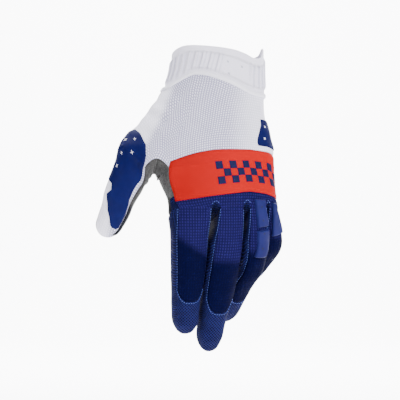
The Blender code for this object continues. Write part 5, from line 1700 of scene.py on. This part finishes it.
@dataclass
class Studio:
    """Floor, lights and camera."""

    distance: float = 1.8
    width: float = 0.296
    centre: tuple[float, float, float] = (-0.0137, -0.030, -0.1080)
    floor: float = -0.34
    world_light: float = 0.56
    lights: list[tuple[str, tuple[float, float, float], float, float]] = field(default_factory=lambda: [
        ("key", (1.2, -1.3, 0.8), 1.0, 66.0),
        ("fill", (-1.3, -1.4, 0.3), 1.4, 25.0),
        ("top", (0.1, 0.3, 1.3), 1.0, 20.0),
        ("wall", (0.0, 1.2, 1.7), 1.6, 560.0),
    ])
    wall_target: tuple[float, float, float] = (0.0, 3.0, 0.0)

    def build(self) -> None:
        """Makes the stage, the lamps, the world's light and the camera."""
        self.backdrop()
        for name, place, size, power in self.lights:
            lamp = bpy.data.lights.new(name, "AREA")
            lamp.shape, lamp.size, lamp.energy = "DISK", size, power
            made = bpy.data.objects.new(name, lamp)
            bpy.context.scene.collection.objects.link(made)
            made.location = place
            made.rotation_euler = self.facing(place, self.wall_target if name == "wall" else self.centre)
        world = bpy.data.worlds.new("studio")
        world.use_nodes = True
        world.node_tree.nodes["Background"].inputs[0].default_value = (0.95, 0.97, 1.0, 1.0)
        world.node_tree.nodes["Background"].inputs[1].default_value = self.world_light
        bpy.context.scene.world = world
        lens = bpy.data.cameras.new("camera")
        lens.lens = lens.sensor_width * self.distance / self.width
        lens.clip_start, lens.clip_end = 0.05, 20.0
        camera = bpy.data.objects.new("camera", lens)
        bpy.context.scene.collection.objects.link(camera)
        camera.location = (self.centre[0], self.centre[1] - self.distance, self.centre[2])
        camera.rotation_euler = (math.pi / 2, 0.0, 0.0)
        bpy.context.scene.camera = camera

    def facing(self, place: Sequence[float], target: Sequence[float]) -> tuple[float, float, float]:
        """Angles that turn a lamp's -Z towards a point."""
        dx, dy, dz = (b - a for a, b in zip(place, target))
        flat = math.hypot(dx, dy)
        return (math.atan2(flat, -dz), 0.0, math.atan2(dy, dx) - math.pi / 2)

    def backdrop(self) -> None:
        """A pale floor that curves up behind: a line, a quarter circle and a line, drawn across."""
        turn = np.linspace(0, math.pi / 2, 17)
        y = np.concatenate([[-6.0], 2.2 + 0.8 * np.sin(turn), [3.0]])
        z = np.concatenate([[0.0], 0.8 - 0.8 * np.cos(turn), [4.0]]) + self.floor
        x = np.array([-4.0, 4.0])
        grid = np.stack([np.broadcast_to(x[None], (len(y), 2)), np.repeat(y[:, None], 2, 1),
                         np.repeat(z[:, None], 2, 1)], axis=-1)
        mesh = bpy.data.meshes.new("floor")
        mesh.from_pydata(grid.reshape(-1, 3).tolist(), [], grid_faces(len(y), 2)[:, ::-1].tolist())
        mesh.shade_smooth()
        n = Nodes("pale floor")
        mesh.materials.append(n.finish(n.mix(n.noise(3.0), (0.90, 0.90, 0.91, 1), (0.88, 0.88, 0.89, 1)), 0.9))
        floor = bpy.data.objects.new("floor", mesh)
        bpy.context.scene.collection.objects.link(floor)


def main() -> None:
    """Builds the glove's looks and the studio, in order."""
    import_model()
    surface = GloveSurface(HandForm())
    surface.place()
    finishes = Finishes()
    for group in (Panels(surface, finishes), Cuff(surface, finishes), Patches(surface, finishes),
                  Stitching(surface, finishes), Studio()):
        group.build()
        LOG.info("built %s", type(group).__name__)
    bpy.context.view_layer.update()


if __name__ == "__main__":
    logging.basicConfig(level=logging.INFO)
    main()
